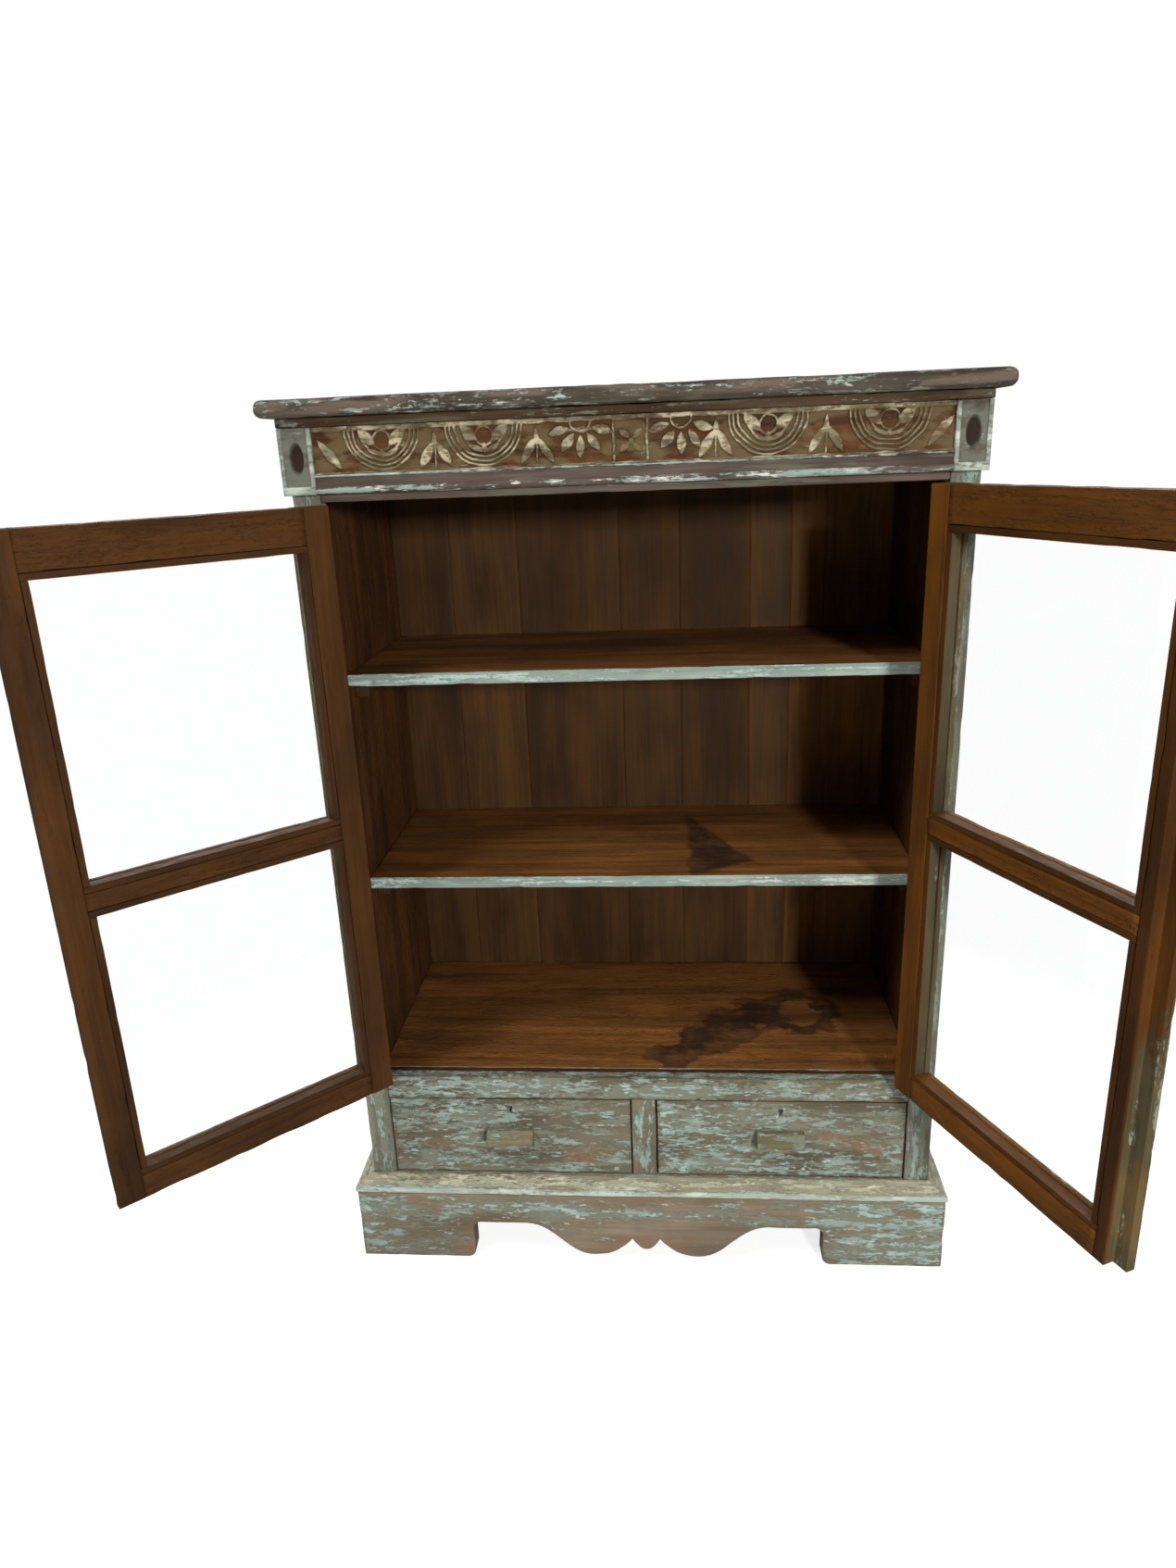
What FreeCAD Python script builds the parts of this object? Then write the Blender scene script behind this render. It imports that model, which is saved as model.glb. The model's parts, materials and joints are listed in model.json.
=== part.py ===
"""Glazed display cabinet: two framed glass doors, two shelves and two drawers on a scalloped plinth.

Sizes are in millimetres.  +Z is up and the front faces -Y.  The origin lies on the floor, at the
middle of the back, where floor and wall meet.  The doors stand open and the drawers are closed.
"""
import FreeCAD, Part
import math
import os

from FreeCAD import Vector

# Overall sizes of the carcass, which is the box without its plinth and mouldings.
CARCASS_WIDTH = 798.0
CARCASS_DEPTH = 357.0
CABINET_HEIGHT = 1200.0

# Boards of the carcass.
SIDE_THICKNESS = 24.0
STILE_WIDTH = 34.5
FRAME_DEPTH = 26.0
BACK_THICKNESS = 12.0
BACK_PLANK_GAP = 0.8
BACK_PLANK_PROPORTIONS = (88.0, 104.0, 155.0, 91.0, 105.0, 61.0, 50.0, 96.0)

# Top board with its rounded edge.
TOP_THICKNESS = 21.0
TOP_OVERHANG = 26.0
TOP_EDGE_RADIUS = 9.0

# Largest share of a board's thickness that a rounded edge may take.
ROUNDING_SHARE = 0.45

# Frieze under the top board.
TOP_RAIL_HEIGHT = 95.5
CORNICE_FILLET_HEIGHT = 11.0
CORNICE_FILLET_PROJECTION = 14.0
CORNICE_FILLET_RADIUS = 3.0
FRIEZE_HEIGHT = 52.5
FRIEZE_THICKNESS = 10.0
FRIEZE_RETURN_THICKNESS = 5.0
CORNER_BLOCK_PROJECTION = 12.0
BEAD_MOULDING_HEIGHT = 22.5
BEAD_MOULDING_LIP = 13.0
BEAD_MOULDING_FLAT = 9.0
BEAD_LIP_HEIGHT = 3.0
BEAD_RADIUS = 4.5

# Plinth and the moulding that covers its joint with the carcass.
PLINTH_HEIGHT = 113.0
PLINTH_PROJECTION = 21.5
PLINTH_THICKNESS = 30.0
PLINTH_BLOCK_SIZE = 50.0
PLINTH_BLOCK_LIFT = 10.0
BASE_MOULDING_HEIGHT = 20.0
BASE_MOULDING_PROJECTION = 23.0
BASE_MOULDING_SHOULDER = 4.0
BASE_MOULDING_FOOT_HEIGHT = 10.0
BASE_MOULDING_STEP = 2.5

# Scalloped lower edge of the plinth's front, measured from the middle outwards.
APRON_FOOT_INNER = 252.0
APRON_ARCH_HEIGHT = 62.0
APRON_ARCH_START = 174.0
APRON_LOBE_CENTRE = 75.0
APRON_LOBE_LIFT = 8.0
APRON_CUSP = 20.0
APRON_CUSP_HEIGHT = 37.0
APRON_DROP_LIFT = 19.0
APRON_CORNER_RADIUS = 12.0
APRON_LOBE_HANDLE_SHARE = 0.4
APRON_OGEE_HANDLE_SHARE = 0.42

# Drawer storey and the cabinet floor above it.
LOWER_RAIL_HEIGHT = 21.0
BASE_BOARD_THICKNESS = 18.0
DRAWER_OPENING_HEIGHT = 125.4
DRAWER_DIVIDER_WIDTH = 35.0
DRAWER_PARTITION_THICKNESS = 18.0
DRAWER_GUIDE_HEIGHT = 40.0
FLOOR_RAIL_HEIGHT = 35.0
FLOOR_THICKNESS = 18.0

# Shelves and the cleats that carry them.
SHELF_THICKNESS = 17.0
SHELF_SETBACK = 58.0
LOWER_COMPARTMENT = 281.8
MIDDLE_COMPARTMENT = 287.8
CLEAT_SIZE = 20.0
CLEAT_SETBACK = 25.0

# Door leaves.
DOOR_THICKNESS = 26.0
DOOR_STILE_WIDTH = 40.0
DOOR_TOP_RAIL = 51.0
DOOR_MIDDLE_RAIL = 37.0
DOOR_BOTTOM_RAIL = 40.0
DOOR_TOP_GAP = 2.0
DOOR_BOTTOM_GAP = 5.5
DOOR_LAP = 14.0
DOOR_LAP_CLEARANCE = 1.5
DOOR_LAP_END_GAP = 3.0
DOOR_TENON_LENGTH = 20.0
DOOR_TENON_THICKNESS = 8.0
DOOR_TENON_SHOULDER = 2.0

# How far each leaf stands open, in degrees.
LEFT_DOOR_OPENING = 136.0
RIGHT_DOOR_OPENING = 115.3

# Glass and the beads that hold it in the rebate.
GLASS_LIP = 8.0
GLASS_REBATE = 8.0
GLASS_THICKNESS = 3.0
GLASS_CLEARANCE = 2.0
BEAD_RECESS = 0.5

# Butt hinges.
HINGE_LENGTH = 70.0
HINGE_END_DISTANCE = 95.0
HINGE_LEAF_THICKNESS = 1.5
HINGE_LEAF_REACH = 25.0
HINGE_LEAF_GAP = 0.2
HINGE_KNUCKLE_RADIUS = 4.0
HINGE_KNUCKLE_SHARE = 0.3
HINGE_KNUCKLE_GAP = 0.4
HINGE_FACE_CLEARANCE = 0.4
HINGE_PIN_RADIUS = 2.0
HINGE_PIN_CLEARANCE = 0.05
HINGE_PIN_HEAD_RADIUS = 3.2
HINGE_PIN_HEAD_HEIGHT = 2.5

# Door knobs.
KNOB_INSET = 12.0
KNOB_DROP = 34.0
KNOB_FOOT_RADIUS = 7.0
KNOB_FOOT_HEIGHT = 3.0
KNOB_NECK_ROOT_RADIUS = 5.6
KNOB_NECK_RADIUS = 4.0
KNOB_NECK_HEIGHT = 9.0
KNOB_BALL_RADIUS = 9.0
KNOB_SHANK_RADIUS = 2.5
KNOB_SHANK_LENGTH = 16.0
KNOB_SHANK_CLEARANCE = 0.1

# Drawers.
DRAWER_GAP = 1.5
DRAWER_RUNNING_CLEARANCE = 0.3
DRAWER_FRONT_THICKNESS = 20.0
DRAWER_SIDE_THICKNESS = 12.0
DRAWER_SIDE_HEIGHT = 98.0
DRAWER_BOTTOM_THICKNESS = 5.0
DRAWER_BOTTOM_LIFT = 7.0
DRAWER_GROOVE_DEPTH = 5.0
DRAWER_BACK_CLEARANCE = 35.0
KEYHOLE_RADIUS = 3.5
KEYHOLE_SLOT_WIDTH = 3.0
KEYHOLE_SLOT_LENGTH = 10.0
KEYHOLE_DROP = 15.0

# Drawer pulls, a shaped wooden bar with a finger hollow under it.
PULL_WIDTH = 66.0
PULL_HEIGHT = 26.0
PULL_PROJECTION = 18.0
PULL_NOSE_HEIGHT = 8.0
PULL_FOOT_DEPTH = 7.0
PULL_RISE = 64.0

# Places that follow from the sizes above.
FRONT = -CARCASS_DEPTH
HALF_WIDTH = CARCASS_WIDTH / 2
INSIDE_HALF = HALF_WIDTH - SIDE_THICKNESS
OPENING_HALF = HALF_WIDTH - STILE_WIDTH
BACK_FACE = CARCASS_DEPTH - BACK_THICKNESS
DRAWER_LENGTH = BACK_FACE - DRAWER_BACK_CLEARANCE
TOP_UNDERSIDE = CABINET_HEIGHT - TOP_THICKNESS
OPENING_TOP = TOP_UNDERSIDE - TOP_RAIL_HEIGHT
FRIEZE_TOP = TOP_UNDERSIDE - CORNICE_FILLET_HEIGHT
FRIEZE_BOTTOM = FRIEZE_TOP - FRIEZE_HEIGHT
BEAD_BOTTOM = FRIEZE_BOTTOM - BEAD_MOULDING_HEIGHT
DRAWER_SILL = PLINTH_HEIGHT + LOWER_RAIL_HEIGHT
DRAWER_HEAD = DRAWER_SILL + DRAWER_OPENING_HEIGHT
FLOOR_TOP = DRAWER_HEAD + FLOOR_RAIL_HEIGHT
LOWER_SHELF_TOP = FLOOR_TOP + LOWER_COMPARTMENT
UPPER_SHELF_TOP = LOWER_SHELF_TOP + MIDDLE_COMPARTMENT
PLINTH_HALF = HALF_WIDTH + PLINTH_PROJECTION
PLINTH_INSIDE = PLINTH_HALF - PLINTH_THICKNESS

# Places on a door leaf, measured from the hinge axis: u runs along the leaf, v into its thickness.
PIVOT_PROUD = HINGE_KNUCKLE_RADIUS + HINGE_FACE_CLEARANCE
DOOR_START = 2 * HINGE_LEAF_THICKNESS + HINGE_LEAF_GAP
DOOR_END = OPENING_HALF + DOOR_LAP / 2
DOOR_BOTTOM = FLOOR_TOP + DOOR_BOTTOM_GAP
DOOR_TOP = OPENING_TOP - DOOR_TOP_GAP
SIGHT_START = DOOR_START + DOOR_STILE_WIDTH
SIGHT_END = DOOR_END - DOOR_STILE_WIDTH
PANE_HEIGHT = (DOOR_TOP - DOOR_BOTTOM - DOOR_TOP_RAIL - DOOR_MIDDLE_RAIL - DOOR_BOTTOM_RAIL) / 2
LOWER_PANE = (DOOR_BOTTOM + DOOR_BOTTOM_RAIL, DOOR_BOTTOM + DOOR_BOTTOM_RAIL + PANE_HEIGHT)
UPPER_PANE = (LOWER_PANE[1] + DOOR_MIDDLE_RAIL, LOWER_PANE[1] + DOOR_MIDDLE_RAIL + PANE_HEIGHT)
HINGE_LEVELS = (DOOR_BOTTOM + HINGE_END_DISTANCE, DOOR_TOP - HINGE_END_DISTANCE - HINGE_LENGTH)
KNOB_LEVEL = LOWER_PANE[1] - KNOB_DROP

UP = Vector(0, 0, 1)
ORIGIN = Vector(0, 0, 0)


def block(x0, x1, y0, y1, z0, z1):
    """A box between two corners, with y counted inwards from the carcass's front plane."""
    return Part.makeBox(x1 - x0, y1 - y0, z1 - z0, Vector(x0, FRONT + y0, z0))


def mirrored(shape):
    """The same piece on the other side of the cabinet's middle plane."""
    return shape.mirror(ORIGIN, Vector(1, 0, 0))


def pair(shape):
    """A piece of the right side together with its twin on the left."""
    return [mirrored(shape), shape]


def save(name, *solids):
    """Write one sub-part; several solids make one group."""
    shape = solids[0] if len(solids) == 1 else Part.makeCompound(list(solids))
    shape.exportStep("parts/" + name + ".step")


def polygon(points):
    """A flat face inside a closed outline of straight lines."""
    return Part.Face(Part.makePolygon(points + points[:1]))


# Carcass

def top_board():
    """Top with its front and side edges rounded above and below."""
    reach = HALF_WIDTH + TOP_OVERHANG
    board = block(-reach, reach, -TOP_OVERHANG, CARCASS_DEPTH, TOP_UNDERSIDE, CABINET_HEIGHT)
    back = FRONT + CARCASS_DEPTH
    radius = min(TOP_EDGE_RADIUS, ROUNDING_SHARE * TOP_THICKNESS)

    def is_rounded(edge):
        level = abs(edge.BoundBox.ZMax - edge.BoundBox.ZMin) < TOP_THICKNESS / 2
        return level and edge.CenterOfMass.y < back - TOP_OVERHANG / 2

    return board.makeFillet(radius, [edge for edge in board.Edges if is_rounded(edge)])


def build_carcass():
    """Stiles, rails, sides, back, floor and top."""
    save("top_board", top_board())
    stile = block(OPENING_HALF, HALF_WIDTH, 0, FRAME_DEPTH, PLINTH_HEIGHT, TOP_UNDERSIDE)
    side = block(INSIDE_HALF, HALF_WIDTH, FRAME_DEPTH, CARCASS_DEPTH, PLINTH_HEIGHT, TOP_UNDERSIDE)
    for name, shape in (("front_stile", stile), ("side_panel", side)):
        save(name + "_left", mirrored(shape))
        save(name + "_right", shape)

    rails = (("top_rail", OPENING_TOP, TOP_UNDERSIDE),
             ("floor_rail", DRAWER_HEAD, FLOOR_TOP),
             ("lower_rail", PLINTH_HEIGHT, DRAWER_SILL))
    for name, bottom, top in rails:
        save(name, block(-OPENING_HALF, OPENING_HALF, 0, FRAME_DEPTH, bottom, top))

    boards = (("cabinet_floor", FRAME_DEPTH, FLOOR_TOP, FLOOR_THICKNESS),
              ("base_board", FRAME_DEPTH, DRAWER_SILL, BASE_BOARD_THICKNESS),
              ("shelf_lower", SHELF_SETBACK, LOWER_SHELF_TOP, SHELF_THICKNESS),
              ("shelf_upper", SHELF_SETBACK, UPPER_SHELF_TOP, SHELF_THICKNESS))
    for name, start, top, thickness in boards:
        save(name, block(-INSIDE_HALF, INSIDE_HALF, start, BACK_FACE, top - thickness, top))

    save("shelf_cleats", *shelf_cleats())
    save("back_planks", *back_planks())


def shelf_cleats():
    """Four strips screwed to the sides, one under each end of each shelf."""
    cleats = []
    for shelf_top in (LOWER_SHELF_TOP, UPPER_SHELF_TOP):
        top = shelf_top - SHELF_THICKNESS
        cleats += pair(block(INSIDE_HALF - CLEAT_SIZE, INSIDE_HALF, SHELF_SETBACK + CLEAT_SETBACK,
                             BACK_FACE, top - CLEAT_SIZE, top))
    return cleats


def back_planks():
    """Upright boards of uneven width, side by side between the cabinet's sides."""
    gaps = BACK_PLANK_GAP * (len(BACK_PLANK_PROPORTIONS) - 1)
    share = (2 * INSIDE_HALF - gaps) / sum(BACK_PLANK_PROPORTIONS)
    planks = []
    left = -INSIDE_HALF
    for proportion in BACK_PLANK_PROPORTIONS:
        right = left + proportion * share
        planks.append(block(left, right, BACK_FACE, CARCASS_DEPTH, PLINTH_HEIGHT, TOP_UNDERSIDE))
        left = right + BACK_PLANK_GAP
    return planks


# Frieze

def build_frieze():
    """Carved board between two corner blocks, with a strip above and a beaded moulding below."""
    outside = HALF_WIDTH + FRIEZE_RETURN_THICKNESS
    save("frieze_panel", block(-OPENING_HALF, OPENING_HALF, -FRIEZE_THICKNESS, 0, FRIEZE_BOTTOM, FRIEZE_TOP))
    corner = block(OPENING_HALF, outside, -CORNER_BLOCK_PROJECTION, 0, BEAD_BOTTOM, FRIEZE_TOP)
    save("corner_blocks", *pair(corner))
    save("frieze_returns", *pair(block(HALF_WIDTH, outside, 0, CARCASS_DEPTH, BEAD_BOTTOM, FRIEZE_TOP)))
    save("cornice_fillet", *cornice_fillet(outside))
    save("bead_moulding", bead_moulding())


def cornice_fillet(outside):
    """Square strip under the top board, across the front and along both sides."""
    front = block(-outside, outside, -CORNICE_FILLET_PROJECTION, 0, FRIEZE_TOP, TOP_UNDERSIDE)
    radius = min(CORNICE_FILLET_RADIUS, ROUNDING_SHARE * CORNICE_FILLET_HEIGHT)

    def is_nose(edge):
        box = edge.BoundBox
        at_front = box.YMax < FRONT - CORNICE_FILLET_PROJECTION / 2
        return at_front and box.ZMax < FRIEZE_TOP + CORNICE_FILLET_HEIGHT / 2 and box.XLength > outside

    front = front.makeFillet(radius, [edge for edge in front.Edges if is_nose(edge)])
    return [front] + pair(block(HALF_WIDTH, outside, 0, CARCASS_DEPTH, FRIEZE_TOP, TOP_UNDERSIDE))


def bead_moulding():
    """Lip, flat band and round bead, carried straight across between the corner blocks."""
    def point(projection, level):
        return Vector(-OPENING_HALF, FRONT - projection, level)

    lip_bottom = FRIEZE_BOTTOM - BEAD_LIP_HEIGHT
    bead_top = BEAD_BOTTOM + 2 * BEAD_RADIUS
    corners = [point(BEAD_MOULDING_FLAT, BEAD_BOTTOM), point(0, BEAD_BOTTOM), point(0, FRIEZE_BOTTOM),
               point(BEAD_MOULDING_LIP, FRIEZE_BOTTOM), point(BEAD_MOULDING_LIP, lip_bottom),
               point(BEAD_MOULDING_FLAT, lip_bottom), point(BEAD_MOULDING_FLAT, bead_top)]
    edges = Part.makePolygon(corners).Edges
    nose = point(BEAD_MOULDING_FLAT + BEAD_RADIUS, BEAD_BOTTOM + BEAD_RADIUS)
    edges.append(Part.Arc(corners[-1], nose, corners[0]).toShape())
    return Part.Face(Part.Wire(edges)).extrude(Vector(2 * OPENING_HALF, 0, 0))


# Plinth

def apron_half_edge():
    """Lower edge of the plinth's front, from the middle drop to the right foot's outer corner."""
    def point(x, z):
        return Vector(x, FRONT - PLINTH_PROJECTION, z)

    def bezier(*poles):
        curve = Part.BezierCurve()
        curve.setPoles([point(*pole) for pole in poles])
        return curve.toShape()

    lobe = (APRON_LOBE_CENTRE, APRON_LOBE_LIFT)
    lobe_handle = APRON_LOBE_HANDLE_SHARE * (APRON_LOBE_CENTRE - APRON_CUSP)
    ogee_handle = APRON_OGEE_HANDLE_SHARE * (APRON_ARCH_START - APRON_LOBE_CENTRE)
    round_in = APRON_FOOT_INNER - APRON_CORNER_RADIUS
    round_out = APRON_FOOT_INNER + APRON_CORNER_RADIUS
    round_top = APRON_ARCH_HEIGHT - APRON_CORNER_RADIUS
    middle = APRON_CORNER_RADIUS * (1 - math.sqrt(0.5))
    return [
        bezier((0, APRON_DROP_LIFT), (APRON_CUSP / 2, APRON_DROP_LIFT), (APRON_CUSP, APRON_CUSP_HEIGHT)),
        bezier((APRON_CUSP, APRON_CUSP_HEIGHT), (APRON_CUSP + lobe_handle, APRON_LOBE_LIFT), lobe),
        bezier(lobe, (APRON_LOBE_CENTRE + ogee_handle, APRON_LOBE_LIFT),
               (APRON_ARCH_START - ogee_handle, APRON_ARCH_HEIGHT), (APRON_ARCH_START, APRON_ARCH_HEIGHT)),
        Part.makeLine(point(APRON_ARCH_START, APRON_ARCH_HEIGHT), point(round_in, APRON_ARCH_HEIGHT)),
        Part.Arc(point(round_in, APRON_ARCH_HEIGHT),
                 point(APRON_FOOT_INNER - middle, APRON_ARCH_HEIGHT - middle),
                 point(APRON_FOOT_INNER, round_top)).toShape(),
        Part.makeLine(point(APRON_FOOT_INNER, round_top), point(APRON_FOOT_INNER, APRON_CORNER_RADIUS)),
        Part.Arc(point(APRON_FOOT_INNER, APRON_CORNER_RADIUS),
                 point(APRON_FOOT_INNER + middle, middle),
                 point(round_out, 0)).toShape(),
        Part.makeLine(point(round_out, 0), point(PLINTH_HALF, 0)),
    ]


def plinth_apron():
    """Front board of the plinth with its scalloped lower edge."""
    right = apron_half_edge()
    left = [mirrored(edge) for edge in right]
    y = FRONT - PLINTH_PROJECTION
    rim = Part.makePolygon([Vector(PLINTH_HALF, y, 0), Vector(PLINTH_HALF, y, PLINTH_HEIGHT),
                            Vector(-PLINTH_HALF, y, PLINTH_HEIGHT), Vector(-PLINTH_HALF, y, 0)])
    outline = Part.Wire(Part.__sortEdges__(right + left + rim.Edges))
    return Part.Face(outline).extrude(Vector(0, PLINTH_THICKNESS, 0))


def base_moulding():
    """Sloped moulding over a square foot, mitred at the two front corners."""
    def profile(projection, level):
        return (projection, PLINTH_HEIGHT + level)

    step = BASE_MOULDING_PROJECTION - BASE_MOULDING_STEP
    outline = [profile(0, 0), profile(BASE_MOULDING_PROJECTION, 0),
               profile(BASE_MOULDING_PROJECTION, BASE_MOULDING_FOOT_HEIGHT),
               profile(step, BASE_MOULDING_FOOT_HEIGHT),
               profile(BASE_MOULDING_SHOULDER, BASE_MOULDING_HEIGHT), profile(0, BASE_MOULDING_HEIGHT)]
    outside = HALF_WIDTH + BASE_MOULDING_PROJECTION
    back = FRONT + CARCASS_DEPTH
    nose = FRONT - BASE_MOULDING_PROJECTION

    def plan(points):
        return polygon([Vector(x, y, PLINTH_HEIGHT) for x, y in points]).extrude(UP * BASE_MOULDING_HEIGHT)

    front = polygon([Vector(-outside, FRONT - p, z) for p, z in outline]).extrude(Vector(2 * outside, 0, 0))
    front = front.common(plan([(-HALF_WIDTH, FRONT), (-outside, nose), (outside, nose), (HALF_WIDTH, FRONT)]))
    side = polygon([Vector(HALF_WIDTH + p, nose, z) for p, z in outline]).extrude(Vector(0, back - nose, 0))
    side = side.common(plan([(HALF_WIDTH, FRONT), (outside, nose), (outside, back), (HALF_WIDTH, back)]))
    return [front.Solids[0]] + pair(side.Solids[0])


def build_plinth():
    """Four boards, four corner blocks and the moulding on top."""
    apron_back = PLINTH_THICKNESS - PLINTH_PROJECTION
    back_start = CARCASS_DEPTH - PLINTH_THICKNESS
    block_start = PLINTH_INSIDE - PLINTH_BLOCK_SIZE
    save("plinth_apron", plinth_apron())
    side = block(PLINTH_INSIDE, PLINTH_HALF, apron_back, CARCASS_DEPTH, 0, PLINTH_HEIGHT)
    save("plinth_sides", *pair(side))
    save("plinth_back", block(-PLINTH_INSIDE, PLINTH_INSIDE, back_start, CARCASS_DEPTH, 0, PLINTH_HEIGHT))
    blocks = []
    for start in (apron_back, back_start - PLINTH_BLOCK_SIZE):
        blocks += pair(block(block_start, PLINTH_INSIDE, start, start + PLINTH_BLOCK_SIZE,
                             PLINTH_BLOCK_LIFT, PLINTH_HEIGHT))
    save("plinth_corner_blocks", *blocks)
    save("base_moulding", *base_moulding())


# Drawer storey

def build_drawer_storey():
    """Divider between the drawers, the partition behind it and the guides beside the drawers."""
    half_divider = DRAWER_DIVIDER_WIDTH / 2
    half_partition = DRAWER_PARTITION_THICKNESS / 2
    guide_top = DRAWER_SILL + DRAWER_GUIDE_HEIGHT
    save("drawer_divider", block(-half_divider, half_divider, 0, FRAME_DEPTH, DRAWER_SILL, DRAWER_HEAD))
    save("drawer_partition", block(-half_partition, half_partition, FRAME_DEPTH, BACK_FACE, DRAWER_SILL,
                                   FLOOR_TOP - FLOOR_THICKNESS))
    outer = block(OPENING_HALF, INSIDE_HALF, FRAME_DEPTH, BACK_FACE, DRAWER_SILL, guide_top)
    inner = block(half_partition, half_divider, FRAME_DEPTH, BACK_FACE, DRAWER_SILL, guide_top)
    save("drawer_guides", *(pair(outer) + pair(inner)))


def keyhole(x, level):
    """Round hole with a slot under it, right through the drawer front."""
    reach = DRAWER_FRONT_THICKNESS
    hole = Part.makeCylinder(KEYHOLE_RADIUS, reach, Vector(x, FRONT, level), Vector(0, 1, 0))
    half_slot = KEYHOLE_SLOT_WIDTH / 2
    return hole.fuse(block(x - half_slot, x + half_slot, 0, reach, level - KEYHOLE_SLOT_LENGTH, level))


def drawer_pull(x):
    """Wooden bar with a sloped top and a finger hollow under its nose."""
    level = DRAWER_SILL + PULL_RISE
    top = level + PULL_HEIGHT / 2
    bottom = level - PULL_HEIGHT / 2
    left = x - PULL_WIDTH / 2
    nose_top = level + PULL_NOSE_HEIGHT / 2
    nose_bottom = level - PULL_NOSE_HEIGHT / 2
    outline = [(0, top), (PULL_FOOT_DEPTH, top), (PULL_PROJECTION, nose_top), (PULL_PROJECTION, nose_bottom),
               (PULL_FOOT_DEPTH, nose_bottom), (PULL_FOOT_DEPTH, bottom), (0, bottom)]
    face = polygon([Vector(left, FRONT - out, z) for out, z in outline])
    return face.extrude(Vector(PULL_WIDTH, 0, 0))


def drawer_pieces():
    """The right drawer's pieces: front, sides, back, bottom and pull."""
    left = DRAWER_DIVIDER_WIDTH / 2 + DRAWER_GAP
    right = OPENING_HALF - DRAWER_GAP
    middle = (left + right) / 2
    side_bottom = DRAWER_SILL + DRAWER_RUNNING_CLEARANCE
    side_top = side_bottom + DRAWER_SIDE_HEIGHT
    inner_left = left + DRAWER_SIDE_THICKNESS
    inner_right = right - DRAWER_SIDE_THICKNESS
    bottom_level = side_bottom + DRAWER_BOTTOM_LIFT
    bottom_top = bottom_level + DRAWER_BOTTOM_THICKNESS
    front_top = DRAWER_HEAD - DRAWER_GAP

    front = block(left, right, 0, DRAWER_FRONT_THICKNESS, DRAWER_SILL + DRAWER_GAP, front_top)
    bottom = block(inner_left - DRAWER_GROOVE_DEPTH, inner_right + DRAWER_GROOVE_DEPTH,
                   DRAWER_FRONT_THICKNESS - DRAWER_GROOVE_DEPTH, DRAWER_LENGTH, bottom_level, bottom_top)
    sides = [block(start, start + DRAWER_SIDE_THICKNESS, DRAWER_FRONT_THICKNESS, DRAWER_LENGTH,
                   side_bottom, side_top).cut(bottom) for start in (left, inner_right)]
    back = block(inner_left, inner_right, DRAWER_LENGTH - DRAWER_SIDE_THICKNESS, DRAWER_LENGTH,
                 bottom_top, side_top)
    front = front.cut(bottom).cut(keyhole(middle, front_top - KEYHOLE_DROP))
    return {"front": [front], "sides": sides, "back": [back], "bottom": [bottom],
            "pull": [drawer_pull(middle)]}


def build_drawers():
    """Two drawers, the left one a mirror of the right."""
    for name, solids in drawer_pieces().items():
        save("right_drawer_" + name, *solids)
        save("left_drawer_" + name, *[mirrored(solid) for solid in solids])


# Doors

def leaf_block(u0, u1, v0, v1, z0, z1):
    """A box on a closed left-hand leaf: u from the hinge axis, v inwards from the outer face."""
    return Part.makeBox(u1 - u0, v1 - v0, z1 - z0, Vector(u0, PIVOT_PROUD + v0, z0))


def hung(shape, side, angle):
    """Carry a piece of a left-hand leaf to its hinge on the given side and swing it open."""
    placed = shape.copy() if side == "left" else mirrored(shape)
    turn = -angle if side == "left" else angle
    reach = -OPENING_HALF if side == "left" else OPENING_HALF
    placed.rotate(ORIGIN, UP, turn)
    placed.translate(Vector(reach, FRONT - PIVOT_PROUD, 0))
    return placed


def pane_pocket(pane):
    """Room that the rebate around one pane leaves free for glass and beads."""
    return leaf_block(SIGHT_START - GLASS_REBATE, SIGHT_END + GLASS_REBATE, GLASS_LIP, DOOR_THICKNESS,
                      pane[0] - GLASS_REBATE, pane[1] + GLASS_REBATE)


def door_tenons(bottom, top):
    """The two tenons of one rail, between the levels given."""
    start = (DOOR_THICKNESS - DOOR_TENON_THICKNESS) / 2
    end = start + DOOR_TENON_THICKNESS
    return [leaf_block(SIGHT_START - DOOR_TENON_LENGTH, SIGHT_START, start, end, bottom, top),
            leaf_block(SIGHT_END, SIGHT_END + DOOR_TENON_LENGTH, start, end, bottom, top)]


def door_frame(side):
    """Two stiles and three rails, rebated for the glass and joined with tenons."""
    pockets = [pane_pocket(pane) for pane in (LOWER_PANE, UPPER_PANE)]
    shoulder = GLASS_REBATE + DOOR_TENON_SHOULDER
    levels = {"bottom_rail": (DOOR_BOTTOM, LOWER_PANE[0]),
              "middle_rail": (LOWER_PANE[1], UPPER_PANE[0]),
              "top_rail": (UPPER_PANE[1], DOOR_TOP)}
    pieces = {}
    mortises = []
    for name, (bottom, top) in levels.items():
        tenons = door_tenons(bottom + shoulder, top - shoulder)
        rail = leaf_block(SIGHT_START, SIGHT_END, 0, DOOR_THICKNESS, bottom, top)
        pieces[name] = rail.cut(pockets).fuse(tenons).removeSplitter()
        mortises += tenons
    hinge_stile = leaf_block(DOOR_START, SIGHT_START, 0, DOOR_THICKNESS, DOOR_BOTTOM, DOOR_TOP)
    meeting_stile = leaf_block(SIGHT_END, DOOR_END, 0, DOOR_THICKNESS, DOOR_BOTTOM, DOOR_TOP)
    pieces["hinge_stile"] = hinge_stile.cut(pockets + mortises)
    meeting_stile = meeting_stile.cut(pockets + mortises)
    pieces["meeting_stile"] = meeting_stile.cut([lap_recess(side), knob_hole()])
    return pieces


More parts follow.
